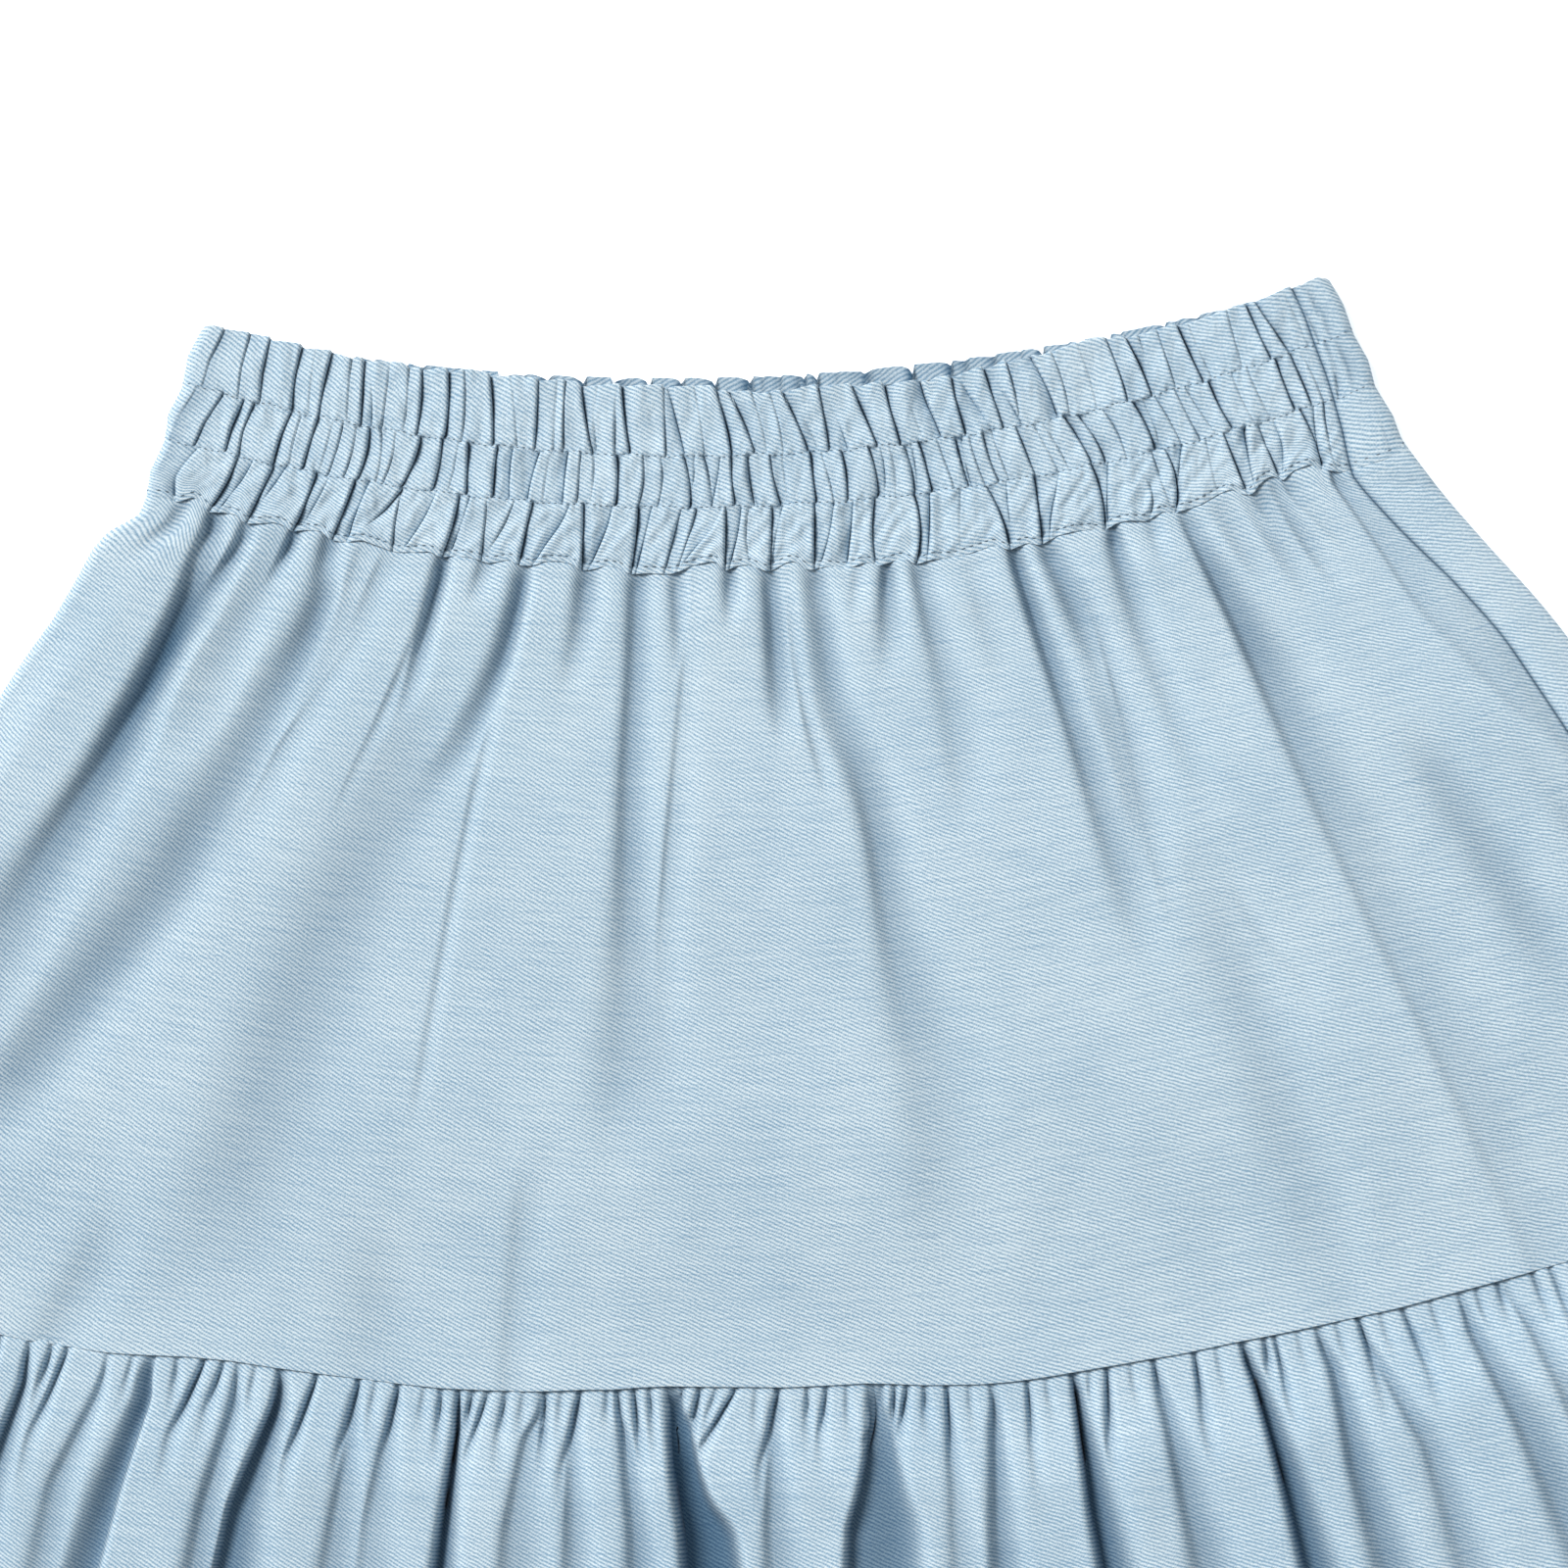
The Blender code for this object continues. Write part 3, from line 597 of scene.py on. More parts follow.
#    down  around  depth  wall  run
TIER_VALLEYS = [valley_points(points) for points in (
    ((57, -903, 5, 1.5, 4), (64, -898, 3.8, 1.6, 4.5), (69, -890, 2.8, 1.8, 7), (76, -880, 4, 2, 8.5),
     (84, -873, 5.6, 2.4, 8), (95, -867, 7, 3, 6), (113, -858, 6.2, 3.4, 6.5), (137, -860, 4.8, 4, 9),
     (160, -872, 3.8, 5, 11), (185, -885, 2.8, 8, 12), (250, -890, 0, 14, 16)),
    ((110, -815, 0, 1.5, 3), (125, -812, 1.2), (150, -812, 1), (175, -823, 0)),
    ((57, -772, 5.2, 1.2, 3), (63, -774, 3.8, 1.5, 3), (70, -778, 1.8, 2, 3), (78, -782, 0)),
    ((57, -846, 3, 1.5, 3), (62, -846, 3.2), (69, -847, 3.8, 1.8, 3.5), (76, -851, 3.4, 2.5, 4),
     (84, -858, 2, 3, 4), (92, -860, 0)),
    ((57, -955, 2, 2, 3), (64, -958, 2.2, 2, 4), (74, -965, 0)),
    ((57, -622, 0.6, 2, 5), (66, -628, 1.6), (78, -632, 1.2, 3, 5), (92, -640, 0)),
    ((57, -468, 2.8, 1.5, 4), (62, -470, 1.6, 2, 4), (70, -474, 0)),
    ((57, 586, 1.8, 2, 3), (64, 584, 0.8), (72, 582, 0)),
    ((58, 690, 0.8, 3, 5), (66, 695, 1.6, 3, 6), (76, 696, 1), (88, 698, 0)),
    ((57, 752, 2.4, 2, 6), (64, 760, 2, 2, 7), (72, 768, 1, 3, 7), (82, 775, 0)),
    ((57, 812, 2.6, 1, 3), (63, 818, 1.8, 1.2, 5), (72, 832, 1, 2, 5), (84, 845, 0)),
    ((60, 952, 0, 2, 3), (64, 956, 1.6), (68, 974, 1.8), (72, 998, 1), (75, 1000, 0)),
    ((58, -800, 0.8, 6, 5), (83, -806, 1.9, 6, 6), (100, -802, 1.7, 7, 8), (115, -795, 1.2, 8, 10),
     (134, -785, 0, 8, 14)),
    ((57, -718, 4, 2, 4), (65, -716, 2.4, 3, 4), (72, -704, 3.4, 4, 4.5), (84, -702, 3.8, 5, 5),
     (97, -708, 3, 7, 6), (115, -714, 2.6, 8, 7), (130, -722, 2.8, 9, 9), (150, -738, 3, 10, 10),
     (170, -752, 3, 11, 11), (190, -772, 3), (210, -790, 2.8, 10, 12), (235, -810, 2.4), (262, -825, 0)),
    ((58, -662, 0.8, 2, 6), (85, -662, 1.4, 3, 8), (105, -655, 1), (116, -650, 0)),
    ((62, -605, 0.5, 1, 4), (80, -612, 0.7, 1, 5), (95, -628, 0.8, 1.2, 5), (109, -640, 0.9, 1.2, 6),
     (120, -649, 1.5, 1.3, 6), (134, -655, 1.3, 1.4, 7), (151, -670, 0.9, 2, 8), (172, -690, 0)),
    ((57, -534, 4.8, 1.8, 2.6), (70, -533, 4.5, 1.9, 3), (83, -529, 3.5, 2, 3.3), (95, -522, 1.9, 2, 4),
     (112, -518, 0, 2, 5)),
    ((75, -535, 0.5, 1, 3), (95, -537, 1.2, 1, 4), (110, -541, 1.2, 1.2, 4), (130, -552, 1, 1.5, 5),
     (146, -558, 0)),
    ((90, -540, 0, 12, 12), (120, -548, 1.6, 14, 14), (160, -562, 2, 14, 18), (205, -578, 1.9, 14, 20),
     (250, -590, 1.6, 15, 20), (300, -600, 0)),
    ((57, -381, 3, 1.6, -3.2), (66, -380, 4.4, 1.8, -3.4), (85, -381, 4.1, 2.2, -4.2),
     (98, -386, 3, 2.8, -5), (112, -394, 2.2, 4, -6.5), (130, -415, 1.4, 8, -10),
     (150, -440, 1.2, 12, -12), (200, -480, 0, 14, -14)),
    ((100, -392, 0, 0.8, 2.5), (108, -393, 0.9), (160, -392, 0.8), (215, -389, 0.5, 1, 3),
     (228, -388, 0)),
    ((57, -312, 3.5, 2.5, 4), (68, -310, 3, 3, 5), (82, -310, 1.4), (95, -310, 0)),
    ((57, -231, 3.1, 2.4, 4), (70, -227, 3.2, 2.4, 4.5), (90, -219, 2.9, 2.4, 5.5),
     (105, -215, 2.8, 2.4, 6), (120, -211, 2.8, 2.6, 6.5), (140, -206, 2.9, 3, 7), (160, -203, 2.5, 4, 8),
     (185, -203, 1.9, 6, 12), (210, -206, 1.5, 8, 16), (240, -210, 0)),
    ((57, -167, 2.4, 2, 3), (68, -161, 2.2), (80, -155, 0.9), (88, -152, 0)),
    ((60, -133, 0.3, 0.8, 3), (80, -140, 0.6, 0.8, 4), (102, -142, 0.8, 0.9, 5), (125, -145, 1.1, 1, 6),
     (150, -150, 1.3, 1.2, 6), (168, -153, 1.1, 1.5, 6), (200, -148, 0.6, 2, 6), (225, -145, 0)),
    ((57, -81, 4, 1.5, 2.5), (64, -80, 2.4, 2, 3), (74, -80, 0)),
    ((57, -22, 3, 2.3, 3.5), (70, -20, 3.8, 2.3, 4), (82, -19, 3.6, 2.5, 4.5), (95, -18, 2.5, 3, 5.5),
     (110, -10, 0, 2.5, 5)),
    ((57, 8, 0.5, 0.8, 3), (75, 14, 1.2), (88, 19, 1.3), (102, 28, 1.3, 1, 3), (115, 40, 1.1, 1.2, 4),
     (127, 48, 0)),
    ((57, 46, 2.8, 3, 3.5), (70, 48, 2.8, 3.5, 4.5), (85, 49, 2.8, 4, 5), (98, 50, 2.4, 5, 6),
     (108, 59, 2.4, 5, 8), (118, 76, 2.8, 4, 9), (130, 88, 3.2, 3, 9), (142, 94, 3.1), (155, 96, 2.6),
     (172, 97, 2.2, 4, 11), (195, 100, 1.8, 6, 14), (220, 105, 1.3, 8, 14), (280, 110, 0, 6, 14)),
    ((57, 122, 1, 1.5, 3), (66, 112, 0.8, 2, 3), (73, 105, 0)),
    ((57, 165, 4, 1.5, 3), (66, 158, 3.4, 2, 4), (78, 147, 2, 3, 5), (91, 138, 0)),
    ((60, 178, 0.7, 0.8, 2), (75, 175, 0.9), (90, 174, 0)),
    ((57, 212, 2.6, 2, 4.5), (70, 213, 2.5, 2.4, 5), (85, 214, 2, 3, 6), (100, 211, 1.5, 4, 8),
     (120, 207, 1.1), (140, 205, 0)),
    ((57, 290, 0.6, 3, 5), (75, 292, 0.9, 3, 6), (100, 296, 0)),
    ((57, 365, 4.2, 1.3, 3.4), (75, 367, 4.6, 1.5, 3.9), (95, 368, 3.7, 1.8, 4.6),
     (110, 367, 2.9, 2, 5.5), (125, 366, 2.9, 2.5, 7), (145, 367, 2.2, 3, 8), (165, 367, 1.5, 4, 8),
     (190, 370, 0)),
    ((57, 412, 3, 2, 4), (68, 420, 3.4, 2.5, 5), (82, 424, 3, 3, 5), (95, 426, 1.4, 3, 6), (108, 425, 0)),
    ((58, 438, 0.5, 1, 2), (64, 444, 1.1, 0.8, 3), (74, 454, 1.6, 0.8, 3.5), (86, 455, 1.6),
     (100, 447, 1.5, 0.9, 4), (118, 437, 1.4, 1, 4), (133, 427, 1.4, 1.2, 5), (148, 420, 1, 1.5, 5),
     (165, 415, 0.7, 2, 6), (185, 415, 0)),
    ((95, 410, 0, 6, 7), (115, 410, 1.7), (140, 400, 1.7, 6, 8), (167, 390, 0)),
    ((57, 524, 5, 2, 2.4), (62, 519, 3.8, 2.5, 3), (75, 510, 2.5, 3, 5), (95, 500, 1.4),
     (120, 494, 0.7, 3, 6), (150, 491, 0)),
    ((165, 488, 0, 1, 4), (180, 497, 0.9), (190, 507, 0.9), (203, 530, 0.5), (212, 540, 0)),
    ((57, 639, 1.8, 1.4, 3.5), (66, 641, 2.9, 1.4, 5), (78, 640, 3.7, 1.5, 6.5), (92, 635, 4.1, 1.6, 9),
     (105, 628, 3.9, 2, 12), (120, 622, 2.8, 2.2, 13), (135, 620, 2.2, 2.4, 14), (160, 620, 1.8, 2.5, 16),
     (190, 623, 1.5), (250, 634, 1.2), (305, 645, 0.8, 3, 16)),
    ((60, 740, 0.9, 3, 5), (75, 745, 1.5), (95, 745, 0)),
    ((57, 790, 1.8, 2, 4), (72, 790, 2.2, 2, 5), (92, 790, 0)),
    ((57, 899, 3, 0.8, 3), (66, 898, 1.8, 0.8, 5), (74, 894, 1.4, 0.8, 6), (84, 886, 1.3, 1, 8),
     (98, 872, 1.2, 1.2, 10), (110, 868, 1.2, 2, 12), (128, 878, 1.2), (145, 895, 1.1, 1.5, 10),
     (180, 950, 0, 1.5, 8)),
    ((135, 745, 0, 6, 9), (155, 748, 1.5), (185, 752, 1.8, 7, 10), (210, 757, 1.5), (240, 765, 0)),
    ((150, 440, 0, 10, 10), (190, 440, 1.1), (240, 440, 1.1), (305, 450, 0.4)),
    ((235, -277, 0, 3, 8), (255, -277, 0.9), (305, -275, 0.7)),
    ((262, -665, 0, 6, 10), (285, -675, 1.3), (306, -690, 1.1)),
    ((250, -430, 0, 12, 14), (280, -430, 1.1), (306, -420, 0.8)),
    ((150, 860, 0, 4, 12), (190, 870, 1.4), (240, 885, 1.8, 5, 14), (305, 900, 1.2, 6, 14)),
    ((215, -930, 0, 6, 12), (260, -940, 2.2), (306, -950, 1.2)),
)]
print("valleys in the first tier:", len(TIER_VALLEYS))


# %% [markdown]
# ## Cutting the valleys
# A valley is a trough whose line, depth and widths all change on the way down. Where two
# meet, the sum of their cubes keeps the deeper one's shape and rounds the place between.

# %% Valley helpers
TIER_SOFTEN = 3 * MM
TIER_FLATNESS = 2.3
VALLEY_REACH = 2.2 * MM


def smoothly(places, values, down, soften):
    """A value that changes down the cloth through a few points, without corners."""
    steps = (-1.0, -0.5, 0.0, 0.5, 1.0)
    return sum(np.interp(down + step * soften, places, values) for step in steps) / len(steps)


def valley_troughs(around, down, valleys, soften, flatness):
    """Depth and lean of a list of valleys, and the shade painted into them."""
    half_width = outline(down, 1)
    cubes, lean = np.zeros((2, *np.broadcast(around, down).shape))
    for valley in valleys:
        points = np.array(valley)
        places = points[:, 0] * MM
        place, depth, wall, run = (smoothly(places, points[:, k], down, soften) for k in (1, 2, 3, 4))
        side = math.copysign(1, points[0, 4])
        away = side * (around - place) * half_width
        part, push = trough(away, depth * MM, wall * MM, np.abs(run) * MM, flatness)
        cubes += part ** 3
        lean += side * push
    depth = np.cbrt(cubes)
    # The depth of the valleys also sets the shade painted into them.
    return depth, lean, painted_shade_at(depth)


def crowd_valleys(around, down, valleys, soften):
    """Columns crowded towards the sharp valleys of a tier."""
    half_width = outline(down, 1)
    places = []
    strengths = []
    for points in map(np.array, valleys):
        place, depth = (smoothly(points[:, 0] * MM, points[:, k], down, soften) for k in (1, 2))
        places.append(place * half_width)
        strengths.append(np.clip(depth / 2, 0, 1))
    return crowd(around * half_width, places, strengths, VALLEY_REACH) / half_width


first = np.array(TIER_VALLEYS[0])
print("first valley at 70 mm down lies at", smoothly(first[:, 0], first[:, 1], 70, 3))


# %% [markdown]
# ## First tier relief
# The tier puffs up where it leaves the band and lies lower again at the ruffle's seam and
# at its sides. It follows the band's arched edge at its top. At its foot it sags with the
# ruffle's seam, whose line is one more table.

# %% Relief of the first tier
#   around  mm_lower
RUFFLE_SAG = np.array(in_shares((
    (-1000, 0), (-850, 3), (-690, 3.8), (-650, 3.3), (-620, 2.9), (-600, 2.2), (-575, 1.2), (-550, 0.2),
    (-510, -0.4), (-475, 0), (-430, 0.3), (-400, 0.6), (-360, 1.1), (-325, 1.4), (-290, 1.2), (-250, 1),
    (-225, 0.4), (-200, -0.2), (-175, -0.4), (-150, -1.2), (-125, -1.6), (-100, -1.4), (-50, -1),
    (-25, -0.6), (50, -0.6), (75, 0.2), (100, 1.2), (150, 2.4), (175, 2.6), (200, 2.4), (250, 1.6),
    (300, 1), (325, 1), (350, 0.6), (375, 0.2), (475, -0.2), (525, -0.2), (575, -0.8), (650, -1),
    (850, -0.8), (1000, 0),
), 0))
TIER_PUFF = 8.0 * MM
TIER_REST = 2.05 * MM
TIER_FLOOR = 2.0 * MM
TIER_DEEPER = 1.12
TIER_LEAN = 0.6
SEAM_DEPTH = 0.45
TIER_SHADE = 1.15
UNDER_SEAM_SHADE = 0.15
SEAM_LIGHT = 0.40
TIER_NOISE = ((0.45, 30, 60, 5), (0.13, 9, 16, 8))


def seam_drop(around):
    """How far the ruffle's seam lies below its level."""
    return np.interp(around, *RUFFLE_SAG.T) * MM


def tier_relief(around, down):
    """Lift, shift, slide and painted shade of the front of the first tier."""
    below = down - BAND_SEAM
    above = RUFFLE_SEAM - down
    level = TIER_PUFF * (0.24 * ease(below / (16 * MM)) + 0.76 * ease(below / (100 * MM)))
    sides = np.where(around < 0, ease((1 + around) / 0.55), ease((1 - around) / 0.45))
    level = level * (0.30 + 0.70 * ease(above / (90 * MM))) * (0.42 + 0.58 * sides) + TIER_REST
    depth, lean, painted_shade = valley_troughs(around, down, TIER_VALLEYS, TIER_SOFTEN, TIER_FLATNESS)
    opened = SEAM_DEPTH + (1 - SEAM_DEPTH) * ease((below + 1 * MM) / (7 * MM))
    depth = np.minimum(TIER_DEEPER * depth * opened, level + TIER_FLOOR)
    level = roughened(level, around * outline(down, 1), down, TIER_NOISE, ease(below / (30 * MM)))
    slide = seam_wave(around) * (1 - ease(below / (25 * MM)))
    slide = slide + seam_drop(around) * (1 - ease(above / (70 * MM)))
    past = np.maximum(below, 0)
    # Painted shade: the crease shade is stronger for a few mm below the band and weaker right at the seam.
    near_seam = UNDER_SEAM_SHADE * np.exp(-past / (7 * MM)) - SEAM_LIGHT * np.exp(-past / (1.3 * MM))
    painted_shade = np.minimum(painted_shade * (TIER_SHADE + near_seam), 1)
    return level - depth, TIER_LEAN * lean, slide, painted_shade


show_heights("first tier", tier_relief, 150 * MM)


# %% [markdown]
# ## Folds of the ruffle
# The ruffle is half as wide again as the seam it is sewn to, so it starts in close gathers.
# Lower down they run together into a few deep folds. The long folds go all the way to
# the hem, and the short gathers fade out a little way below the seam. In two places the
# plates stand apart, and a flat-floored hollow shows between them.

# %% Folds and gathers of the ruffle
#   at_seam  13 mm below  43 mm below  at_hem  depth  width at 13 mm  width at 43 mm
RUFFLE_FOLDS = in_shares((
    (-970, -970, -972, -972, 5.5, 3, 8), (-872, -873, -876, -884, 8, 3, 7),
    (-782, -784, -788, -800, 7, 3, 6), (-694, -692, -702, -715, 5.6, 2.6, 6),
    (-622, -625, -646, -660, 2.6, 2, 6), (-580, -576, -586, -620, 6.4, -4, -6.5),
    (-508, -508, -520, -545, 3.4, 2.6, 6), (-474, -476, -498, -530, 7.6, 4.6, 10),
    (-401, -404, -410, -440, 2.8, 2.2, 8), (-366, -371, -382, -395, 2.4, 2.6, 9),
    (-315, -315, -321, -342, 8.6, 1.9, 4.8), (-240, -252, -264, -272, 2.8, 4.4, 10),
    (-206, -214, -212, -215, 2.8, 2.6, 6), (-174, -170, -160, -150, 3.6, 2.6, 6),
    (-128, -125, -116, -75, 7, 4, 6), (-31, -40, -45, -50, 3, 3, 8), (50, 48, 24, -10, 7.2, 2.6, 5),
    (117, 115, 110, 85, 2.2, 1.6, 6), (156, 152, 143, 115, 4.4, 3, 6),
    (225, 224, 223, 245, 8.8, 3.4, 7.5), (300, 300, 302, 316, 3.8, 3, 8),
    (377, 380, 385, 405, 8.8, 3.4, 7), (447, 450, 446, 460, 4.6, 3.2, 7), (484, 488, 510, 520, 3, 2.2, 6),
    (576, 575, 590, 632, 3.6, 3.2, 9), (618, 624, 636, 670, 2.4, 2.6, 7), (678, 682, 696, 716, 7.5, 3, 7),
    (775, 778, 786, 800, 8.5, 3, 7), (870, 872, 876, 886, 7, 3, 7), (965, 966, 968, 970, 6, 3, 8),
), 0, 1, 2, 3)
#   at_seam  at_end  depth  width  length
RUFFLE_GATHERS = in_shares((
    (-985, -985, 2.4, 1.8, 22), (-940, -942, 3.2, 2, 26), (-905, -908, 3.4, 2, 34),
    (-842, -842, 2.8, 1.8, 24), (-815, -818, 3.2, 2, 30), (-748, -750, 2.8, 1.8, 20),
    (-718, -722, 3.2, 2, 30), (-672, -676, 3.4, 1.8, 16), (-658, -672, 3.8, 1.8, 30),
    (-600, -602, 1.6, 1.4, 12), (-562, -560, 2.4, 1.5, 12), (-538, -556, 4.6, 1.8, 24),
    (-521, -530, 3.4, 1.5, 16), (-492, -494, 1.6, 1.4, 12), (-438, -456, 4.6, 1.8, 28),
    (-401, -412, 4.4, 1.8, 24), (-385, -388, 1.4, 1.4, 12), (-366, -376, 4.4, 2, 24),
    (-342, -344, 1.4, 1.4, 10), (-328, -328, 3.2, 1.4, 14), (-300, -308, 3.8, 1.6, 16),
    (-286, -304, 3.6, 1.4, 22), (-271, -276, 3.2, 1.6, 15), (-255, -257, 1.6, 1.4, 10),
    (-237, -239, 4.6, 1.8, 22), (-222, -223, 1.6, 1.4, 10), (-206, -220, 4.4, 2, 24),
    (-182, -182, 2.4, 1.2, 8), (-174, -166, 4.2, 1.8, 24), (-159, -154, 4.4, 1.6, 20),
    (-145, -142, 3.2, 1.3, 13), (-116, -122, 4.4, 1.5, 14), (-100, -112, 4.4, 1.8, 16),
    (-84, -98, 2, 1.2, 12), (-67, -104, 4.4, 1.5, 20), (-50, -53, 1.4, 1.4, 12), (-31, -50, 4.6, 2, 24),
    (-5, -8, 3, 1.2, 12), (12, 2, 3.6, 1.5, 16), (30, 28, 1.6, 1.4, 12), (60, 52, 4.2, 1.8, 14),
    (72, 62, 3.8, 1.4, 20), (83, 68, 4.2, 1.6, 18), (98, 95, 3.4, 1.4, 10), (117, 112, 4.2, 1.5, 26),
    (137, 136, 1.6, 1.4, 10), (188, 184, 3.8, 1.5, 22), (205, 205, 1.4, 1.4, 10),
    (244, 238, 1.6, 1.2, 14), (259, 248, 4.4, 1.8, 26), (280, 280, 1.4, 1.4, 10), (300, 298, 4, 1.6, 16),
    (337, 333, 4.2, 1.7, 22), (357, 357, 1.4, 1.4, 10), (400, 396, 4, 1.7, 12), (409, 408, 3.8, 1.4, 20),
    (430, 430, 1.2, 1.4, 10), (465, 466, 1.6, 1.4, 10), (484, 486, 4.6, 1.9, 20),
    (505, 506, 1.4, 1.4, 10), (524, 531, 3.8, 1.5, 20), (550, 552, 1.6, 1.4, 12), (592, 592, 2, 1.4, 10),
    (611, 611, 3.4, 1.4, 8), (643, 645, 3.2, 1.3, 10), (660, 662, 2.8, 1.6, 18), (712, 714, 3.4, 1.8, 24),
    (745, 748, 3.6, 1.8, 30), (808, 810, 3.4, 1.8, 22), (842, 844, 3.6, 1.8, 30),
    (902, 903, 3.4, 1.8, 26), (936, 937, 3.2, 1.8, 28), (985, 985, 2.4, 1.8, 24),
), 0, 1)
#    down  around  depth  wall  width
OPEN_HOLLOWS = [valley_points(points) for points in (
    ((307, -130, 3, 0.6, 3), (314, -128, 7, 0.6, 5), (320, -127, 9.5, 0.6, 7),
     (331, -125, 10.5, 0.6, 8.5), (341, -121, 10.5, 0.7, 10.5), (350, -117, 10.5, 0.8, 16),
     (430, -96, 9.5, 3, 20), (557, -74, 8, 7, 26)),
    ((307, 49, 2.5, 0.6, 2.5), (314, 48, 4.4, 0.6, 5), (320, 46, 5.4, 0.6, 7.5),
     (331, 41, 6.8, 0.6, 10.5), (341, 33, 7, 0.7, 15), (350, 24, 7, 0.8, 21), (430, 5, 6, 3, 26),
     (557, -9, 5, 7, 30)),
)]
print("folds, gathers and open hollows:", len(RUFFLE_FOLDS), len(RUFFLE_GATHERS), len(OPEN_HOLLOWS))


# %% [markdown]
# ## Ruffle relief
# The short tables become full valleys here, so that the same helper cuts them. The columns
# of the grid are bent to run with the folds, which keeps each lip on the same few columns
# from the seam to the hem.

# %% Relief of the ruffle
RUFFLE_LEVEL = 10.2 * MM
GATHER_LEVEL = 3.3 * MM
RUFFLE_FLOOR = 2.6 * MM
RUFFLE_SOFTEN = 2.5 * MM
RUFFLE_FLATNESS = 2.6
OPEN_FLATNESS = 9.0
DEEP_FOLD = 5
DEEP_SHIFT = 0.0022
SHALLOW_WALL = 2.4
PAST_EDGE = 1.06
FOLD_STOPS = (0, 13, 43, 250)
WIDE_NOISE = ((0.9, 24, 70, 11),)
FINE_NOISE = ((0.25, 7, 15, 12),)


def ruffle_valleys():
    """The folds and gathers of the ruffle as valleys, in the same form as the first tier's."""
    valleys = []
    for seam, near, far, hem, depth, narrow, wide in RUFFLE_FOLDS:
        soft = 1.0 if depth > DEEP_FOLD else SHALLOW_WALL
        if depth > DEEP_FOLD:
            seam, near, far, hem = (place + DEEP_SHIFT for place in (seam, near, far, hem))
        valleys.append((
            (307, seam, 0.45 * depth, 0.6, 0.5 * narrow),
            (314, seam, 0.8 * depth, 0.6, 0.8 * narrow),
            (320, near, depth, 0.6 * soft, narrow),
            (350, far, depth, 0.9 * soft, wide),
            (430, (far + hem) / 2, 0.9 * depth, 2.5 * soft, 1.8 * wide),
            (557, hem, 0.8 * depth, 5.0 * soft, 2.6 * wide),
        ))
    for seam, end, depth, width, length in RUFFLE_GATHERS:
        valleys.append((
            (307, seam, depth, 0.6, 0.6 * width),
            (307 + 0.5 * length, (seam + end) / 2, depth, 0.8, width),
            (307 + length, end, 0.35 * depth, 1.2, 1.6 * width),
            (309 + 1.6 * length, end, 0, 1.6, 2 * width),
        ))
    return valleys


def follow_folds(around, down):
    """Columns of the ruffle bent so that each keeps its place on the folds all the way down."""
    folds = np.array(RUFFLE_FOLDS)
    ends = np.array([(-PAST_EDGE, *folds[:, k], PAST_EDGE) for k in range(4)])
    stops = RUFFLE_SEAM + np.array(FOLD_STOPS) * MM
    moved = np.empty(around.shape)
    for j in range(around.shape[1]):
        here = [np.interp(down[0, j], stops, places) for places in ends.T]
        moved[:, j] = np.interp(around[:, j], ends[1], here)
    return moved


def ruffle_relief(around, down):
    """Lift, shift, slide and painted shade of the front of the ruffle."""
    below = down - RUFFLE_SEAM
    grow = 0.75 * ease(below / (36 * MM)) + 0.25 * ease(below / (250 * MM))
    level = GATHER_LEVEL * (1 - grow) + RUFFLE_LEVEL * grow
    cut = valley_troughs(around, down, ruffle_valleys(), RUFFLE_SOFTEN, RUFFLE_FLATNESS)
    opened = valley_troughs(around, down, OPEN_HOLLOWS, RUFFLE_SOFTEN, OPEN_FLATNESS)
    depth, lean, painted_shade = (np.maximum(*pair) for pair in zip(cut, opened))
    along = around * outline(down, 1)
    level = roughened(level, along, down, WIDE_NOISE, ease(below / (50 * MM)))
    level = roughened(level, along, down, FINE_NOISE, ease(below / (10 * MM)))
    depth = np.minimum(depth * (0.45 + 0.55 * ease(below / (7 * MM))), level + RUFFLE_FLOOR)
    slide = seam_drop(around) * (1 - ease(below / (80 * MM)))
    return level - depth, lean * ease(below / (2 * MM)), slide, painted_shade


show_heights("ruffle", ruffle_relief, 400 * MM)


# %% [markdown]
# ## Back relief
# The back lies face down on the table. It has the same kinds of creases as the front, from
# the other side and pressed flatter. Only its waist edge shows from above, and there the
# gathers of the top channel are kept, with their slits. Shade is painted into its creases, and
# the waist edge with its gathers is painted darker, as the shade inside the band.

# %% Relief of the back
BACK_HEIGHT = 1.5 * MM
BACK_PRESS = 3.5 * MM
BACK_GATHERS = 2.4
WAIST_REACH = 10 * MM
WAIST_HEIGHT = 0.5 * MM
WAIST_SLIDE = 0.35


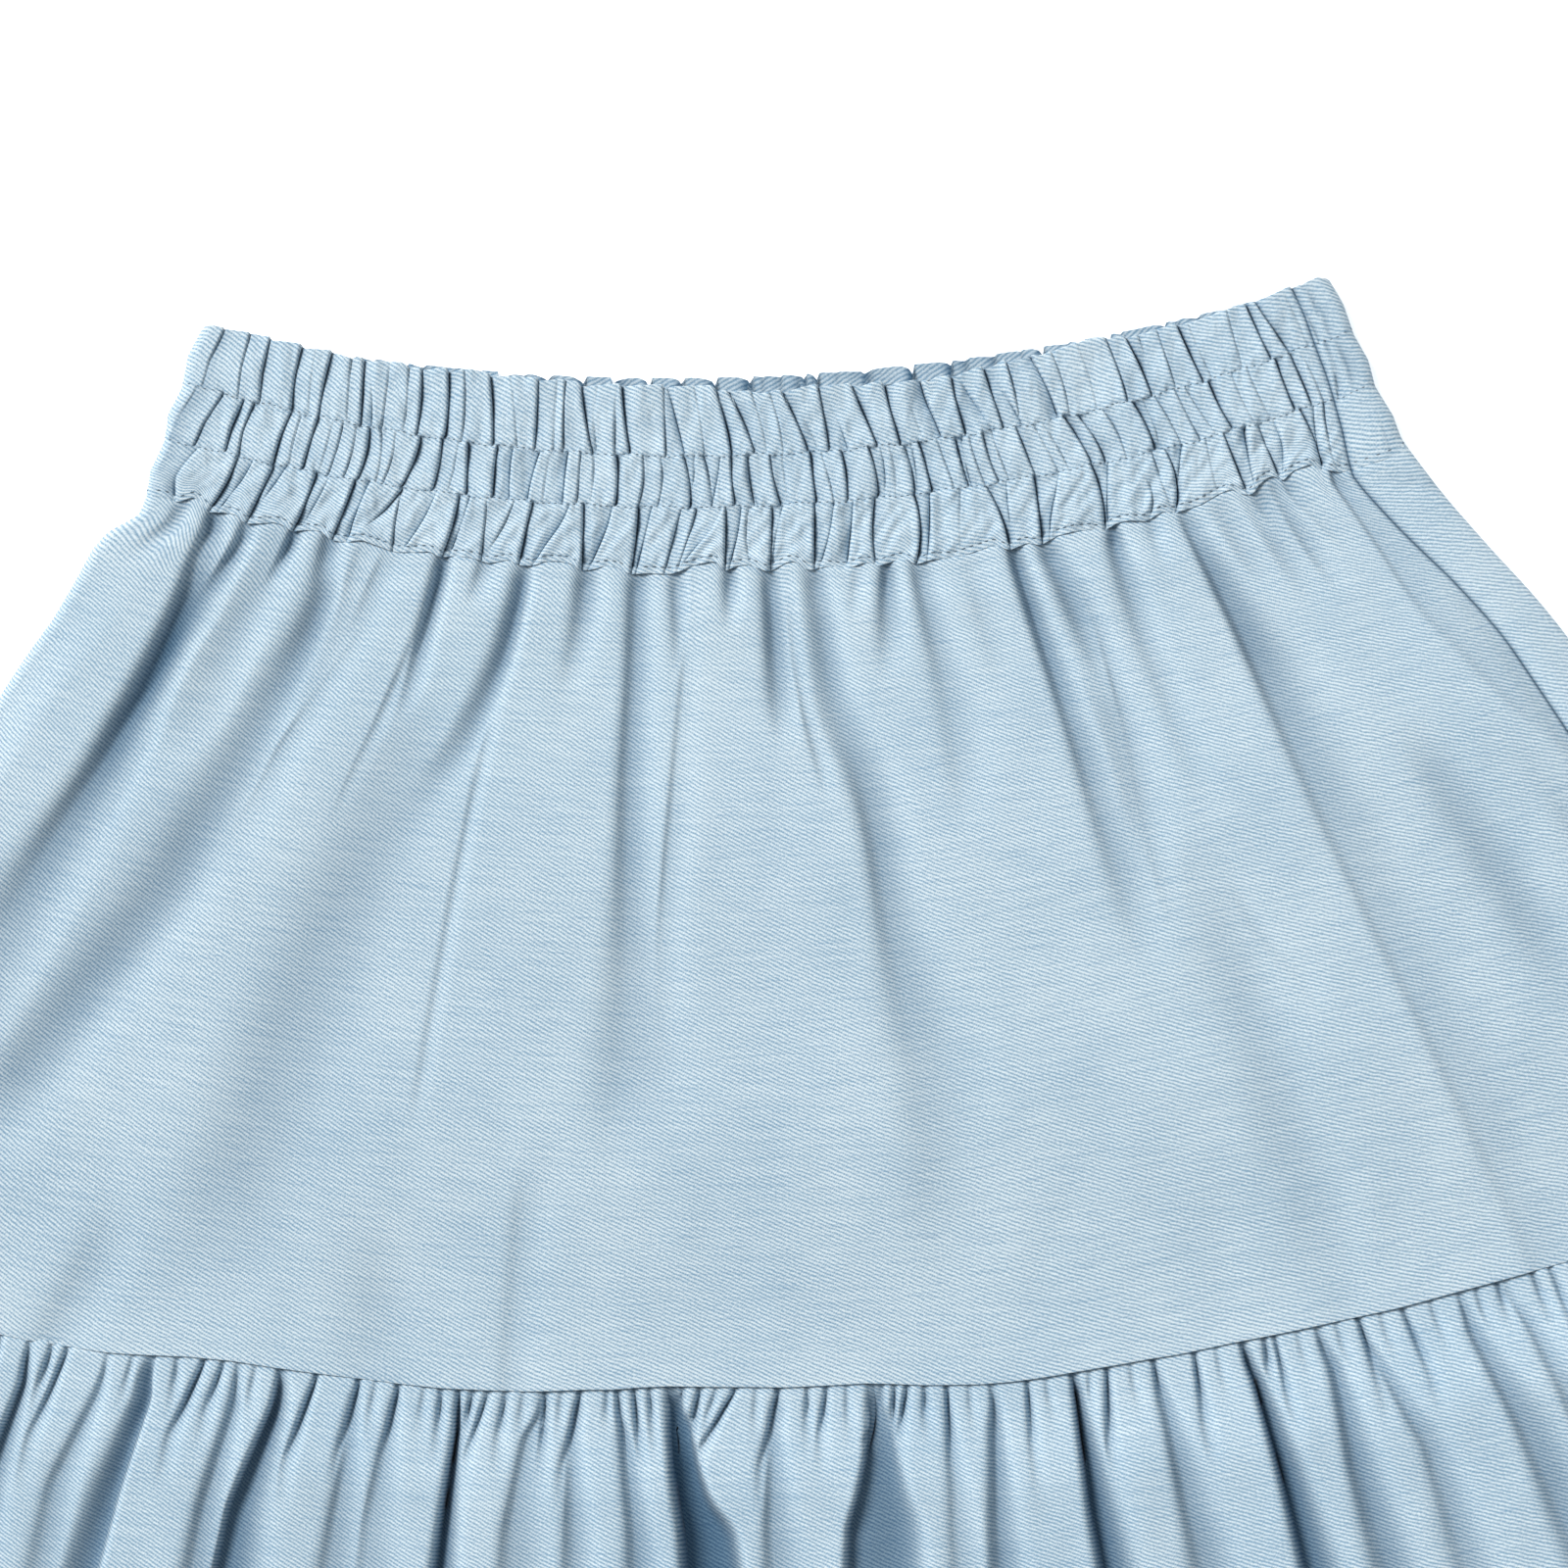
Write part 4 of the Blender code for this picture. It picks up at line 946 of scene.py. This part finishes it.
def back_relief(name, across, down):
    """Height off the table, slide and painted shade of the back panels."""
    gathers = np.zeros(across.shape)
    waist = 1 - ease(down / WAIST_REACH)
    if name == "waistband":
        rows = casing_rows(across)
        depth = np.zeros(across.shape)
        for k, table in enumerate(CHANNELS):
            part, _, shade = channel_troughs(-across, down, table, rows[k], rows[k + 1], waist)
            inside = ((down >= rows[k]) | (k == 0)) * ((down < rows[k + 1]) | (k == 2))
            depth += BACK_GATHERS * np.maximum(part, 0) * inside
            # Painted shade of the gathers at the waist edge.
            gathers += shade * inside * waist
    elif name == "tier1":
        depth = valley_troughs(-across, down, TIER_VALLEYS, TIER_SOFTEN, TIER_FLATNESS)[0]
    else:
        depth = valley_troughs(-across, down, ruffle_valleys(), RUFFLE_SOFTEN, RUFFLE_FLATNESS)[0]
    height = BACK_HEIGHT * (1 - np.exp(-depth / BACK_PRESS)) + WAIST_HEIGHT * waist
    # Painted shade: the creases, the waist edge inside the band and its gathers are darkened.
    painted_shade = np.clip(0.8 * painted_shade_at(depth) + 0.36 * waist + 0.8 * gathers, 0, 1)
    return height, WAIST_SLIDE * depth * waist, painted_shade


show_heights("first tier's back", lambda *places: back_relief("tier1", *places), 150 * MM)


# %% [markdown]
# ## Laying a sheet
# A grid primitive is the honest start for a piece of cloth: its rows become the threads
# across and its columns the threads down. Edges that a maker would fold under get extra rows
# that turn inside, so that no raw edge shows. At the side seams front and back dip in, and a
# narrow dark line of painted shade lies along the seam. The UV map holds metres on the cloth,
# which the weave reads later.

# %% Rows and columns of a sheet
RIGHT_SEAM = 1 - 0.065
LEFT_SEAM = -1 - 0.065
FOLD_RADIUS = 0.27 * MM
TURN_STEP = 0.22
SEAM_STEPS = (0.2, 0.45, 0.8, 1.3, 2.0)
CLOSEST = 0.4 * MM


def folded_edge(depth, sign):
    """Rows of (down, drop) that turn a sheet's edge under; sign is 1 at a top edge, -1 at a bottom."""
    rows = [(sign * (depth + FOLD_RADIUS), 2 * FOLD_RADIUS)]
    rows += [(sign * FOLD_RADIUS * (1 - math.cos(a)), FOLD_RADIUS * (1 - math.sin(a)))
             for a in np.linspace(-math.pi / 2, math.pi / 2, 7)]
    return rows if sign > 0 else rows[::-1]


def rows_down(start, end, near, far, ease_length):
    """Rows from start to end, near apart at the start and far apart further on."""
    rows = [start]
    while rows[-1] < end:
        step = near + (far - near) * min(1.0, (rows[-1] - start) / ease_length)
        rows.append(rows[-1] + step)
    scale = (end - start) / (rows[-1] - start)
    return [start + (row - start) * scale for row in rows]


def side_lines(start, end, count, half_width):
    """Places around a panel, closer together in the turns at the edges."""
    lines = np.linspace(start, end, count)
    extra = []
    for edge in (-1.0, 1.0, 3.0):
        extra += [edge + k * TURN / half_width * TURN_STEP for k in range(-5, 6)]
    for seam, sign in ((start, 1), (end, -1)):
        extra += [seam + sign * step * MM / half_width for step in SEAM_STEPS]
    inside = [line for line in extra if start < line < end]
    keep = [line for line in lines[1:-1] if min(abs(line - other) for other in extra) > CLOSEST]
    return np.array(sorted([start, end] + inside + keep))


print("rows of a turned edge:", len(folded_edge(5 * MM, 1)))


# %% [markdown]
# ## One panel
# Each panel starts as a flat grid. Its columns are crowded towards the creases, every point
# is moved to its place on the tube, and the painted shade for its creases is stored with it.
# A front panel wraps round the left edge a little and stops short of the right one, where the
# back comes round to meet it, so the front relief fades out past the edges and the back's takes over.

# %% Sheet helpers
GRAIN_HOLD = 0.6
GRAIN_WIDTH = {"waistband": 0.185, "tier1": 0.30, "ruffle": 0.37}
RELIEFS = {"waistband": band_relief, "tier1": tier_relief, "ruffle": ruffle_relief}
SEAM_SINK = 1.1 * MM
SEAM_PAINTED_SHADE = 0.95
SEAM_LINE = 0.5 * MM
SEAM_SLOPE = 0.6 * MM
SEAM_DIP = 4 * MM
SEAM_STILL = 3 * MM
FRONT_FADE = 25 * MM
BACK_FADE = 10 * MM
CROWD_SEAM = 0.03
CROWD_EDGE = 0.05


def surface(name, around, down):
    """Lift, shift, slide and painted shade of a panel's cloth, front and back."""
    wrapped = (around + 1) % 4 - 1
    under = wrapped > 1
    front = np.where(under, np.where(wrapped > 2, -1.0, 1.0), wrapped)
    lift, shift, slide, painted_shade = RELIEFS[name](front, down)
    half_width = outline(down, 1)
    past_edge = np.where(under, np.minimum(wrapped - 1, 3 - wrapped), 0.0) * half_width
    back, back_slide, back_painted_shade = back_relief(name, 2 - wrapped, down)
    lift = np.where(under, back, lift)
    shift = np.where(under, 0.0, shift)
    slide = slide * (1 - ease(past_edge / FRONT_FADE))
    slide = np.where(under, slide + back_slide * ease(past_edge / BACK_FADE), slide)
    painted_shade = np.where(under, back_painted_shade, painted_shade)
    inwards = np.where(under, -1.0, 1.0)
    for seam in (RIGHT_SEAM, LEFT_SEAM + 4):
        away = np.abs(wrapped - seam) * half_width
        lift = lift * (1 - 0.5 * np.exp(-(away / SEAM_DIP) ** 2))
        lift = lift - inwards * SEAM_SINK * np.exp(-away / SEAM_SLOPE)
        shift = shift * ease(away / SEAM_STILL)
        # Painted shade: a narrow dark line along each side seam, besides the real dip.
        painted_shade = np.maximum(painted_shade, SEAM_PAINTED_SHADE * np.exp(-away / SEAM_LINE))
    return lift, shift, slide, painted_shade


def crowded(name, around, down):
    """Columns of a front panel, crowded towards its creases."""
    if name == "waistband":
        return crowd_band(around, down)
    if name == "tier1":
        return crowd_valleys(around, down, TIER_VALLEYS, TIER_SOFTEN)
    return crowd_valleys(follow_folds(around, down), down, ruffle_valleys(), RUFFLE_SOFTEN)


def lay_sheet(name, panel, start, end, rows, count):
    """One panel: a grid primitive moved into place, with its UV map in metres."""
    down, drop = np.array(rows).T
    around = side_lines(start, end, count, outline(down.mean(), 1))
    shape = (len(around), len(down))
    bpy.ops.object.select_all(action="DESELECT")
    bpy.ops.mesh.primitive_grid_add(x_subdivisions=shape[0] - 1, y_subdivisions=shape[1] - 1, size=1)
    sheet = bpy.context.object
    sheet.name = sheet.data.name = name
    flat = np.empty(len(sheet.data.vertices) * 3)
    sheet.data.vertices.foreach_get("co", flat)
    flat = flat.reshape(-1, 3)
    i = np.rint((flat[:, 0] + 0.5) * (shape[0] - 1)).astype(int)
    j = np.rint((0.5 - flat[:, 1]) * (shape[1] - 1)).astype(int)
    grid_around, grid_down = np.meshgrid(around, down, indexing="ij")
    if start < 0:
        inside = ease((grid_around - start) / CROWD_SEAM) * ease((end - grid_around) / CROWD_SEAM)
        inside = inside * ease((1.0 - np.abs(grid_around)) / CROWD_EDGE)
        grid_around = grid_around + (crowded(panel, grid_around, grid_down) - grid_around) * inside
    lift, shift, slide, painted_shade = surface(panel, grid_around, grid_down)
    under = (grid_around + 1) % 4 - 1 > 1
    lift = lift - np.where(under, -1.0, 1.0) * drop
    points = tube(grid_around, grid_down, lift, shift, slide)
    sheet.data.vertices.foreach_set("co", points[i, j].ravel())
    grain = outline(grid_down, 1) ** (1 - GRAIN_HOLD) * GRAIN_WIDTH[panel] ** GRAIN_HOLD
    metres = np.stack((grid_around * grain, -grid_down), axis=-1)[i, j]
    loops = np.empty(len(sheet.data.loops), dtype=int)
    sheet.data.loops.foreach_get("vertex_index", loops)
    sheet.data.uv_layers[0].data.foreach_set("uv", metres[loops].ravel())
    # The painted shade for the creases is stored on the points, for the material.
    shade = sheet.data.attributes.new("painted_shade", "FLOAT", "POINT")
    shade.data.foreach_set("value", painted_shade[i, j].ravel())
    sheet.data.update()
    bpy.ops.object.shade_smooth()
    print(name, shape, "faces", len(sheet.data.polygons))
    return sheet


# %% [markdown]
# ## The six panels
# Each front and back is laid with rows close together where the cloth is busy, at the
# stitching and just under a seam, and further apart where it hangs plain.

# %% Lay the panels
DENSITY = 1.0
TUCK = 1.6 * MM
TUCK_DROP = 0.5 * MM
EDGE_DROP = 0.18 * MM
SEAM_GAP = 0.0001


def under_edge(seam, rows):
    """Rows that start hidden below the seam above and come out from under its edge."""
    hidden = [(seam - TUCK, 2 * TUCK_DROP), (seam - 0.4 * MM, TUCK_DROP), (seam + 0.4 * MM, EDGE_DROP)]
    return hidden + [(row, EDGE_DROP * math.exp(-(row - seam) / MM)) for row in rows]


def plain(rows):
    """Rows that lie on the surface."""
    return [(row, 0.0) for row in rows]


def turned(seam, rows, depth):
    """Rows that end in an edge folded under at the seam."""
    return plain(rows) + [(seam + step, drop) for step, drop in folded_edge(depth, -1)]


def tier_rows(seam, end, near, far, ease_length, hem):
    """Rows of a tier from the seam above it to its turned lower edge."""
    rows = rows_down(seam + 1.1 * MM, end - 2 * MM, near * MM / DENSITY, far * MM, ease_length)
    return under_edge(seam, rows)[:-1] + turned(end, [end - 2 * MM, end - 1.1 * MM], hem)


band_rows = folded_edge(5 * MM, 1)
#   from  to    apart, in mm
BAND_STEPS = (
    (1.2, 14.5, 0.85), (14.5, 24, 0.5), (24, 33.5, 0.85),
    (33.5, 39.5, 0.5), (39.5, 50, 0.85), (50, 55.9, 0.45),
)
for first, last, apart in BAND_STEPS:
    band_rows += plain(np.arange(first, last - 0.3 * apart, apart / DENSITY) * MM)
band_rows += [(BAND_SEAM + step, drop) for step, drop in folded_edge(1.5 * MM, -1)]
upper_rows = tier_rows(BAND_SEAM, RUFFLE_SEAM, 0.9, 3, 0.09, 1.5 * MM)
ruffle_rows = tier_rows(RUFFLE_SEAM, HEM, 1.0, 3.4, 0.10, 10 * MM)
#  panel       rows         front_count back_count
PANELS = (
    ("waistband", band_rows, 940,        380),
    ("tier1", upper_rows,    520,        180),
    ("ruffle", ruffle_rows,  860,        300),
)
#  side      start        end
SIDES = (
    ("_front", LEFT_SEAM,  RIGHT_SEAM),
    ("_back",  RIGHT_SEAM, LEFT_SEAM + 4),
)
sheets = {}
for panel, rows, *counts in PANELS:
    sparse = rows[:8] + rows[8:-8:3] + rows[-8:]
    sheets[panel] = []
    for (side, start, end), side_rows, count in zip(SIDES, (rows, sparse), counts):
        limits = (start + SEAM_GAP, end - SEAM_GAP)
        sheet = lay_sheet(panel + side + "_cloth", panel, *limits, side_rows, int(count * DENSITY))
        sheets[panel].append(sheet)


# %% [markdown]
# ## Stitching
# A machine stitch is a short loop of thread pressed into the cloth. It could be painted on,
# but real thread catches the light and sinks into the gathers. One stitch is modelled as
# a small rounded bead, and each row is a joined mesh of copies laid along the cloth.

# %% Stitch rows
UNEVEN_PITCH = 0.14
UNEVEN_ROW = 0.12 * MM
ROW_BELOW = 0.3 * MM
PROUD = 0.15
bpy.ops.object.select_all(action="DESELECT")
bpy.ops.mesh.primitive_uv_sphere_add(segments=6, ring_count=4, radius=0.5)
bead = bpy.context.object
bead_points = np.array([vertex.co[:] for vertex in bead.data.vertices])
# A new sphere doesn't always list its faces in the same order, so they are sorted.
bead_faces = sorted(tuple(face.vertices) for face in bead.data.polygons)
bpy.data.objects.remove(bead, do_unlink=True)


def cloth_point(panel, around, down):
    """Points on the laid cloth for two lists of places."""
    places = (around[:, None], down[:, None])
    return tube(*places, *surface(panel, *places)[:3])[:, 0]


def stitch_row(name, panel, down, start, end, pitch, length, thick):
    """A row of stitches on one panel, from start to end around it."""
    half_width = outline(down(0.0), 1)
    count = int((end - start) * half_width / pitch)
    uneven = np.random.default_rng(count).uniform(-1, 1, (2, count))
    middles = start + (np.arange(count) + 0.5 + UNEVEN_PITCH * uneven[0]) * (end - start) / count
    reach = 0.5 * length / half_width
    rows = down(np.where((middles + 1) % 4 - 1 > 1, 0.0, middles)) + UNEVEN_ROW * uneven[1]
    ends = [cloth_point(panel, middles + side * reach, rows) for side in (-1, 1)]
    below = cloth_point(panel, middles, rows + ROW_BELOW)
    middle = cloth_point(panel, middles, rows)
    along = ends[1] - ends[0]
    along /= np.linalg.norm(along, axis=1)[:, None]
    normal = np.cross(along, middle - below)
    normal /= np.linalg.norm(normal, axis=1)[:, None]
    side = np.cross(normal, along)
    points = 0.0
    for axis, size, way in ((0, length, along), (1, thick, side), (2, thick, normal)):
        points = points + bead_points[None, :, axis, None] * size * way[:, None]
    points = (points + (middle + normal * thick * PROUD)[:, None]).reshape(-1, 3)
    each = len(bead_points)
    faces = [tuple(corner + k * each for corner in face) for k in range(count) for face in bead_faces]
    mesh = bpy.data.meshes.new(name)
    mesh.from_pydata(points.tolist(), [], faces)
    mesh.shade_smooth()
    row = bpy.data.objects.new(name, mesh)
    bpy.context.scene.collection.objects.link(row)
    print(name, "stitches", count)
    return row


#  name              panel       how far down                              pitch     length     thickness
STITCHING = (
    ("casing_row_one", "waistband", lambda around: casing_rows(around)[1],    1.9 * MM, 1.0 * MM,  0.34 * MM),
    ("casing_row_two", "waistband", lambda around: casing_rows(around)[2],    1.9 * MM, 1.0 * MM,  0.34 * MM),
    ("band_edge_row", "waistband",  lambda around: BAND_SEAM - BORDER,        2.4 * MM, 1.4 * MM,  0.42 * MM),
    ("hem_row", "ruffle",           lambda around: HEM - 9 * MM,              2.8 * MM, 2.1 * MM,  0.30 * MM),
)
stitches = {panel: ([], []) for panel in sheets}
for name, panel, down, pitch, length, thick in STITCHING:
    for stitched, (side, start, end) in zip(stitches[panel], SIDES):
        stitched.append(stitch_row(name + side, panel, down, start, end, pitch, length, thick))


# %% [markdown]
# ## Building materials from nodes
# A procedural material is a small network of nodes. These helpers add one node each, so
# that the recipe further down reads as one line a step.

# %% Node helpers
def fill(tree, target, inputs):
    """Links or fills the inputs of a node."""
    for key, value in inputs.items():
        if isinstance(value, bpy.types.NodeSocket):
            tree.links.new(value, target.inputs[key])
        else:
            target.inputs[key].default_value = value


def node(tree, kind, inputs=None, **settings):
    """Adds a node, sets it up and links or fills its inputs."""
    new = tree.nodes.new(kind)
    for key, value in settings.items():
        setattr(new, key, value)
    fill(tree, new, inputs or {})
    return new


def new_material(name):
    """A new material, its node tree and its shader."""
    material = bpy.data.materials.new(name)
    material.use_nodes = True
    return material, material.node_tree, material.node_tree.nodes["Principled BSDF"]


def maths(tree, operation, first, second=0.0, third=0.0):
    """Result of a math node."""
    return node(tree, "ShaderNodeMath", {0: first, 1: second, 2: third}, operation=operation).outputs[0]


def noise(tree, vector, scale, detail=2.0, roughness=0.5):
    """Value of a noise node."""
    inputs = {"Vector": vector, "Scale": scale, "Detail": detail, "Roughness": roughness}
    return node(tree, "ShaderNodeTexNoise", inputs).outputs["Fac"]


def mixed(tree, share, first, second, **settings):
    """Colour between two others."""
    inputs = {0: share, 6: first, 7: second}
    return node(tree, "ShaderNodeMix", inputs, data_type="RGBA", **settings).outputs[2]


def ranged(tree, value, low, high, to_low, to_high):
    """A value moved from one range to another."""
    return node(tree, "ShaderNodeMapRange", {0: value, 1: low, 2: high, 3: to_low, 4: to_high}).outputs[0]


# %% [markdown]
# ## Twill cloth
# Twill shows fine diagonal ribs. The warp is blue and the weft nearly white, so the ribs
# are a colour pattern as much as a relief. The material reads the UV map, which is in
# metres, so the ribs are just over a millimetre apart on every panel. Thicker slubs, faint
# streaks, a cloudy fading and a fine grain lie over them. Shade is painted into the bottoms of
# the creases: the colour is darkened there by the amount that was stored on the sheets.

# %% Twill material
RIB_ANGLE = math.radians(27)
RIB_SPACING = 1.12 * MM
THREAD_SPACING = 0.62 * MM
PALE_WEFT = (0.82, 0.92, 0.965, 1.0)
BLUE_WARP = (0.25, 0.41, 0.555, 1.0)
SLUB_BLUE = (0.20, 0.37, 0.56, 1.0)
# Colour that the painted shade multiplies into the cloth in its creases.
PAINTED_SHADE_TINT = (0.125, 0.215, 0.30, 1.0)
RIB_WANDER = 5.0
THREAD_WANDER = 9.0
WARP_SHARE = 1.16
CLOUDS = 0.36
STREAKS = 0.5
GRAIN = 1.1
SLUB_SCALE = (70.0, 1500.0, 1.0)
STREAK_SCALE = (45.0, 900.0, 1.0)
RIB_HEIGHT = 0.14 * MM


def twill(name, tint):
    """Light blue twill with ribs, slubs, a soft cloudiness and painted shade in its creases. A higher tint is
    bluer.
    """
    material, tree, shader = new_material(name)
    place = node(tree, "ShaderNodeUVMap").outputs[0]
    wander = noise(tree, place, 220.0)
    split = node(tree, "ShaderNodeSeparateXYZ", {0: place})
    u, v = split.outputs[0], split.outputs[1]
    u_part = maths(tree, "MULTIPLY", u, math.sin(RIB_ANGLE) * 2 * math.pi / RIB_SPACING)
    v_part = maths(tree, "MULTIPLY", v, math.cos(RIB_ANGLE) * 2 * math.pi / RIB_SPACING)
    rib_wander = maths(tree, "MULTIPLY", wander, RIB_WANDER)
    rib = maths(tree, "SINE", maths(tree, "ADD", maths(tree, "ADD", u_part, v_part), rib_wander))
    thread_phase = maths(tree, "MULTIPLY", u, 2 * math.pi / THREAD_SPACING)
    thread_wander = maths(tree, "MULTIPLY", wander, THREAD_WANDER)
    thread = maths(tree, "SINE", maths(tree, "ADD", thread_phase, thread_wander))
    broken = maths(tree, "MULTIPLY", rib, maths(tree, "MULTIPLY_ADD", thread, 0.3, 0.7))
    raised = maths(tree, "POWER", maths(tree, "MULTIPLY_ADD", broken, 0.5, 0.5), 1.4)
    share = maths(tree, "MULTIPLY_ADD", raised, WARP_SHARE, 0.02 + tint)
    streaky = node(tree, "ShaderNodeMapping", {0: place, "Scale": STREAK_SCALE}).outputs[0]
    patterns = (
        (noise(tree, place, 24.0, 3.0), CLOUDS),
        (noise(tree, streaky, 1.0), STREAKS),
        (noise(tree, place, 1500.0, 1.0), GRAIN),
    )
    for pattern, strength in patterns:
        share = maths(tree, "ADD", share, maths(tree, "MULTIPLY_ADD", pattern, strength, -strength / 2))
    long_way = node(tree, "ShaderNodeMapping", {0: place, "Scale": SLUB_SCALE}).outputs[0]
    slub_mask = ranged(tree, noise(tree, long_way, 1.0, 3.0, 0.65), 0.56, 0.76, 0.0, 0.5)
    colour = mixed(tree, slub_mask, mixed(tree, share, PALE_WEFT, BLUE_WARP), SLUB_BLUE)
    # Painted shade: where the sheets stored it, the colour is multiplied darker and bluer.
    painted_shade = node(tree, "ShaderNodeAttribute", attribute_name="painted_shade").outputs["Fac"]
    colour_with_painted_shade = mixed(tree, painted_shade, colour, PAINTED_SHADE_TINT, blend_type="MULTIPLY")
    height = maths(tree, "MULTIPLY_ADD", broken, -0.5, maths(tree, "MULTIPLY", slub_mask, 0.8))
    strength = maths(tree, "MULTIPLY_ADD", painted_shade, -0.75, 0.8)
    bump = node(tree, "ShaderNodeBump", {"Strength": strength, "Distance": RIB_HEIGHT, "Height": height})
    fill(tree, shader, {
        "Base Color": colour_with_painted_shade,
        "Roughness": ranged(tree, broken, -1.0, 1.0, 0.78, 0.92),
        "Normal": bump.outputs[0],
        "Sheen Weight": 0.12,
        "Sheen Roughness": 0.5,
        "Specular IOR Level": 0.25,
    })
    return material


#   panel        material           how much bluer
TWILLS = {
    "waistband": ("waistband_twill", 0.0),
    "tier1":     ("tier_twill", 0.0),
    "ruffle":    ("ruffle_twill", 0.07),
}
for panel, pair in sheets.items():
    cloth = twill(*TWILLS[panel])
    for sheet in pair:
        sheet.data.materials.append(cloth)
    print(cloth.name, "nodes:", len(cloth.node_tree.nodes))


# %% [markdown]
# ## Sewing thread
# Thread is darker than the cloth and has a fine diagonal twist. Its material reads Object
# coordinates, because the stitches have no UV map.

# %% Thread material
THREAD_DARK = (0.07, 0.11, 0.15, 1)
THREAD_LIGHT = (0.16, 0.235, 0.31, 1)
TWIST_HEIGHT = 0.05 * MM


def thread_material():
    """Grey blue sewing thread with its twist as a fine bump."""
    material, tree, shader = new_material("sewing_thread")
    place = node(tree, "ShaderNodeTexCoord").outputs["Object"]
    colour = mixed(tree, noise(tree, place, 900.0), THREAD_DARK, THREAD_LIGHT)
    waves = {"Vector": place, "Scale": 1400.0}
    twist = node(tree, "ShaderNodeTexWave", waves, bands_direction="DIAGONAL").outputs["Fac"]
    bump = node(tree, "ShaderNodeBump", {"Strength": 0.4, "Distance": TWIST_HEIGHT, "Height": twist})
    fill(tree, shader, {"Base Color": colour, "Roughness": 0.6, "Normal": bump.outputs[0]})
    return material


thread = thread_material()
all_rows = [row for sides in stitches.values() for side_rows in sides for row in side_rows]
for row in all_rows:
    row.data.materials.append(thread)
print("rows of thread:", len(all_rows))


# %% [markdown]
# ## Attaching the pieces to the skirt's body
# Every sheet rides on the skirt's one body and hides the solid that it stands for. The size
# each panel was cut to is printed. The stitches go with the panel they are sewn to.

CUTS = {
    "waistband": (0.560, 0.062, "gathered"),
    "tier1":     (0.692, 0.254, "laid"),
    "ruffle":    (1.060, 0.262, "gathered"),
}
for panel, pair in sheets.items():
    width, length, held = CUTS[panel]
    for side, sheet in enumerate(pair):
        label = panel + ("_front", "_back")[side]
        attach(sheet, "root")
        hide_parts(label)
        for row in stitches[panel][side]:
            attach(row, "root")
    print(panel, "cut", width, "by", length, "m,", held)


# %% [markdown]
# ## Floor
# The skirt lies on a plain white surface, which is staging and not part of the skirt. It
# glows a little, so that it stays clearly paler than the cloth.

# %% Floor
PAPER = (0.9, 0.9, 0.9, 1)
PAPER_GLOW = 0.6
bpy.ops.object.select_all(action="DESELECT")
bpy.ops.mesh.primitive_plane_add(size=8, location=(0, 0, 0))
floor = bpy.context.object
floor.name = "floor"
paper, paper_tree, paper_shader = new_material("white_paper")
glow = {"Emission Color": (1, 1, 1, 1), "Emission Strength": PAPER_GLOW}
fill(paper_tree, paper_shader, {"Base Color": PAPER, "Roughness": 0.9, **glow})
floor.data.materials.append(paper)
print("floor:", tuple(floor.dimensions))


# %% [markdown]
# ## Light
# One wide sun from the upper left models a large soft window: each fold is bright on its left
# and shaded on its right, with soft edges. A dim sky fills the shadows.

# %% Lights
SUN_ELEVATION = math.radians(47)
SUN_AZIMUTH = math.radians(142)
SUN_SPREAD = math.radians(22)
SUN_STRENGTH = 2.95
SKY_COLOUR = (0.90, 0.96, 1.0, 1)
SKY_STRENGTH = 0.32
lamp = bpy.data.lights.new("key", "SUN")
lamp.energy = SUN_STRENGTH
lamp.angle = SUN_SPREAD
key = bpy.data.objects.new("key", lamp)
bpy.context.scene.collection.objects.link(key)
flat = math.cos(SUN_ELEVATION)
towards = Vector((flat * math.cos(SUN_AZIMUTH), flat * math.sin(SUN_AZIMUTH), math.sin(SUN_ELEVATION)))
key.rotation_euler = towards.to_track_quat("Z", "Y").to_euler()
world = bpy.data.worlds.new("studio")
world.use_nodes = True
sky = {"Color": SKY_COLOUR, "Strength": SKY_STRENGTH}
fill(world.node_tree, world.node_tree.nodes["Background"], sky)
bpy.context.scene.world = world
bpy.context.scene.view_settings.view_transform = "Standard"
print("the sun comes from", tuple(towards))


# %% [markdown]
# ## Camera
# The camera looks straight down, turned a little, from far enough away that the skirt is
# hardly foreshortened. Its lens is found from its height and the width that it has to show.

# %% Camera
TILT = math.radians(2.5)
FRAME_WIDTH = 0.480
CAMERA_HEIGHT = 1.9
FRAME_CENTRE = (0.0, 0.144)
lens = bpy.data.cameras.new("camera")
lens.sensor_width = 36.0
lens.lens = lens.sensor_width * CAMERA_HEIGHT / FRAME_WIDTH
camera = bpy.data.objects.new("camera", lens)
bpy.context.scene.collection.objects.link(camera)
camera.location = (*FRAME_CENTRE, CAMERA_HEIGHT + EDGE_TOP)
camera.rotation_euler = (0, 0, -TILT)
bpy.context.scene.camera = camera
print("lens, in mm:", lens.lens)
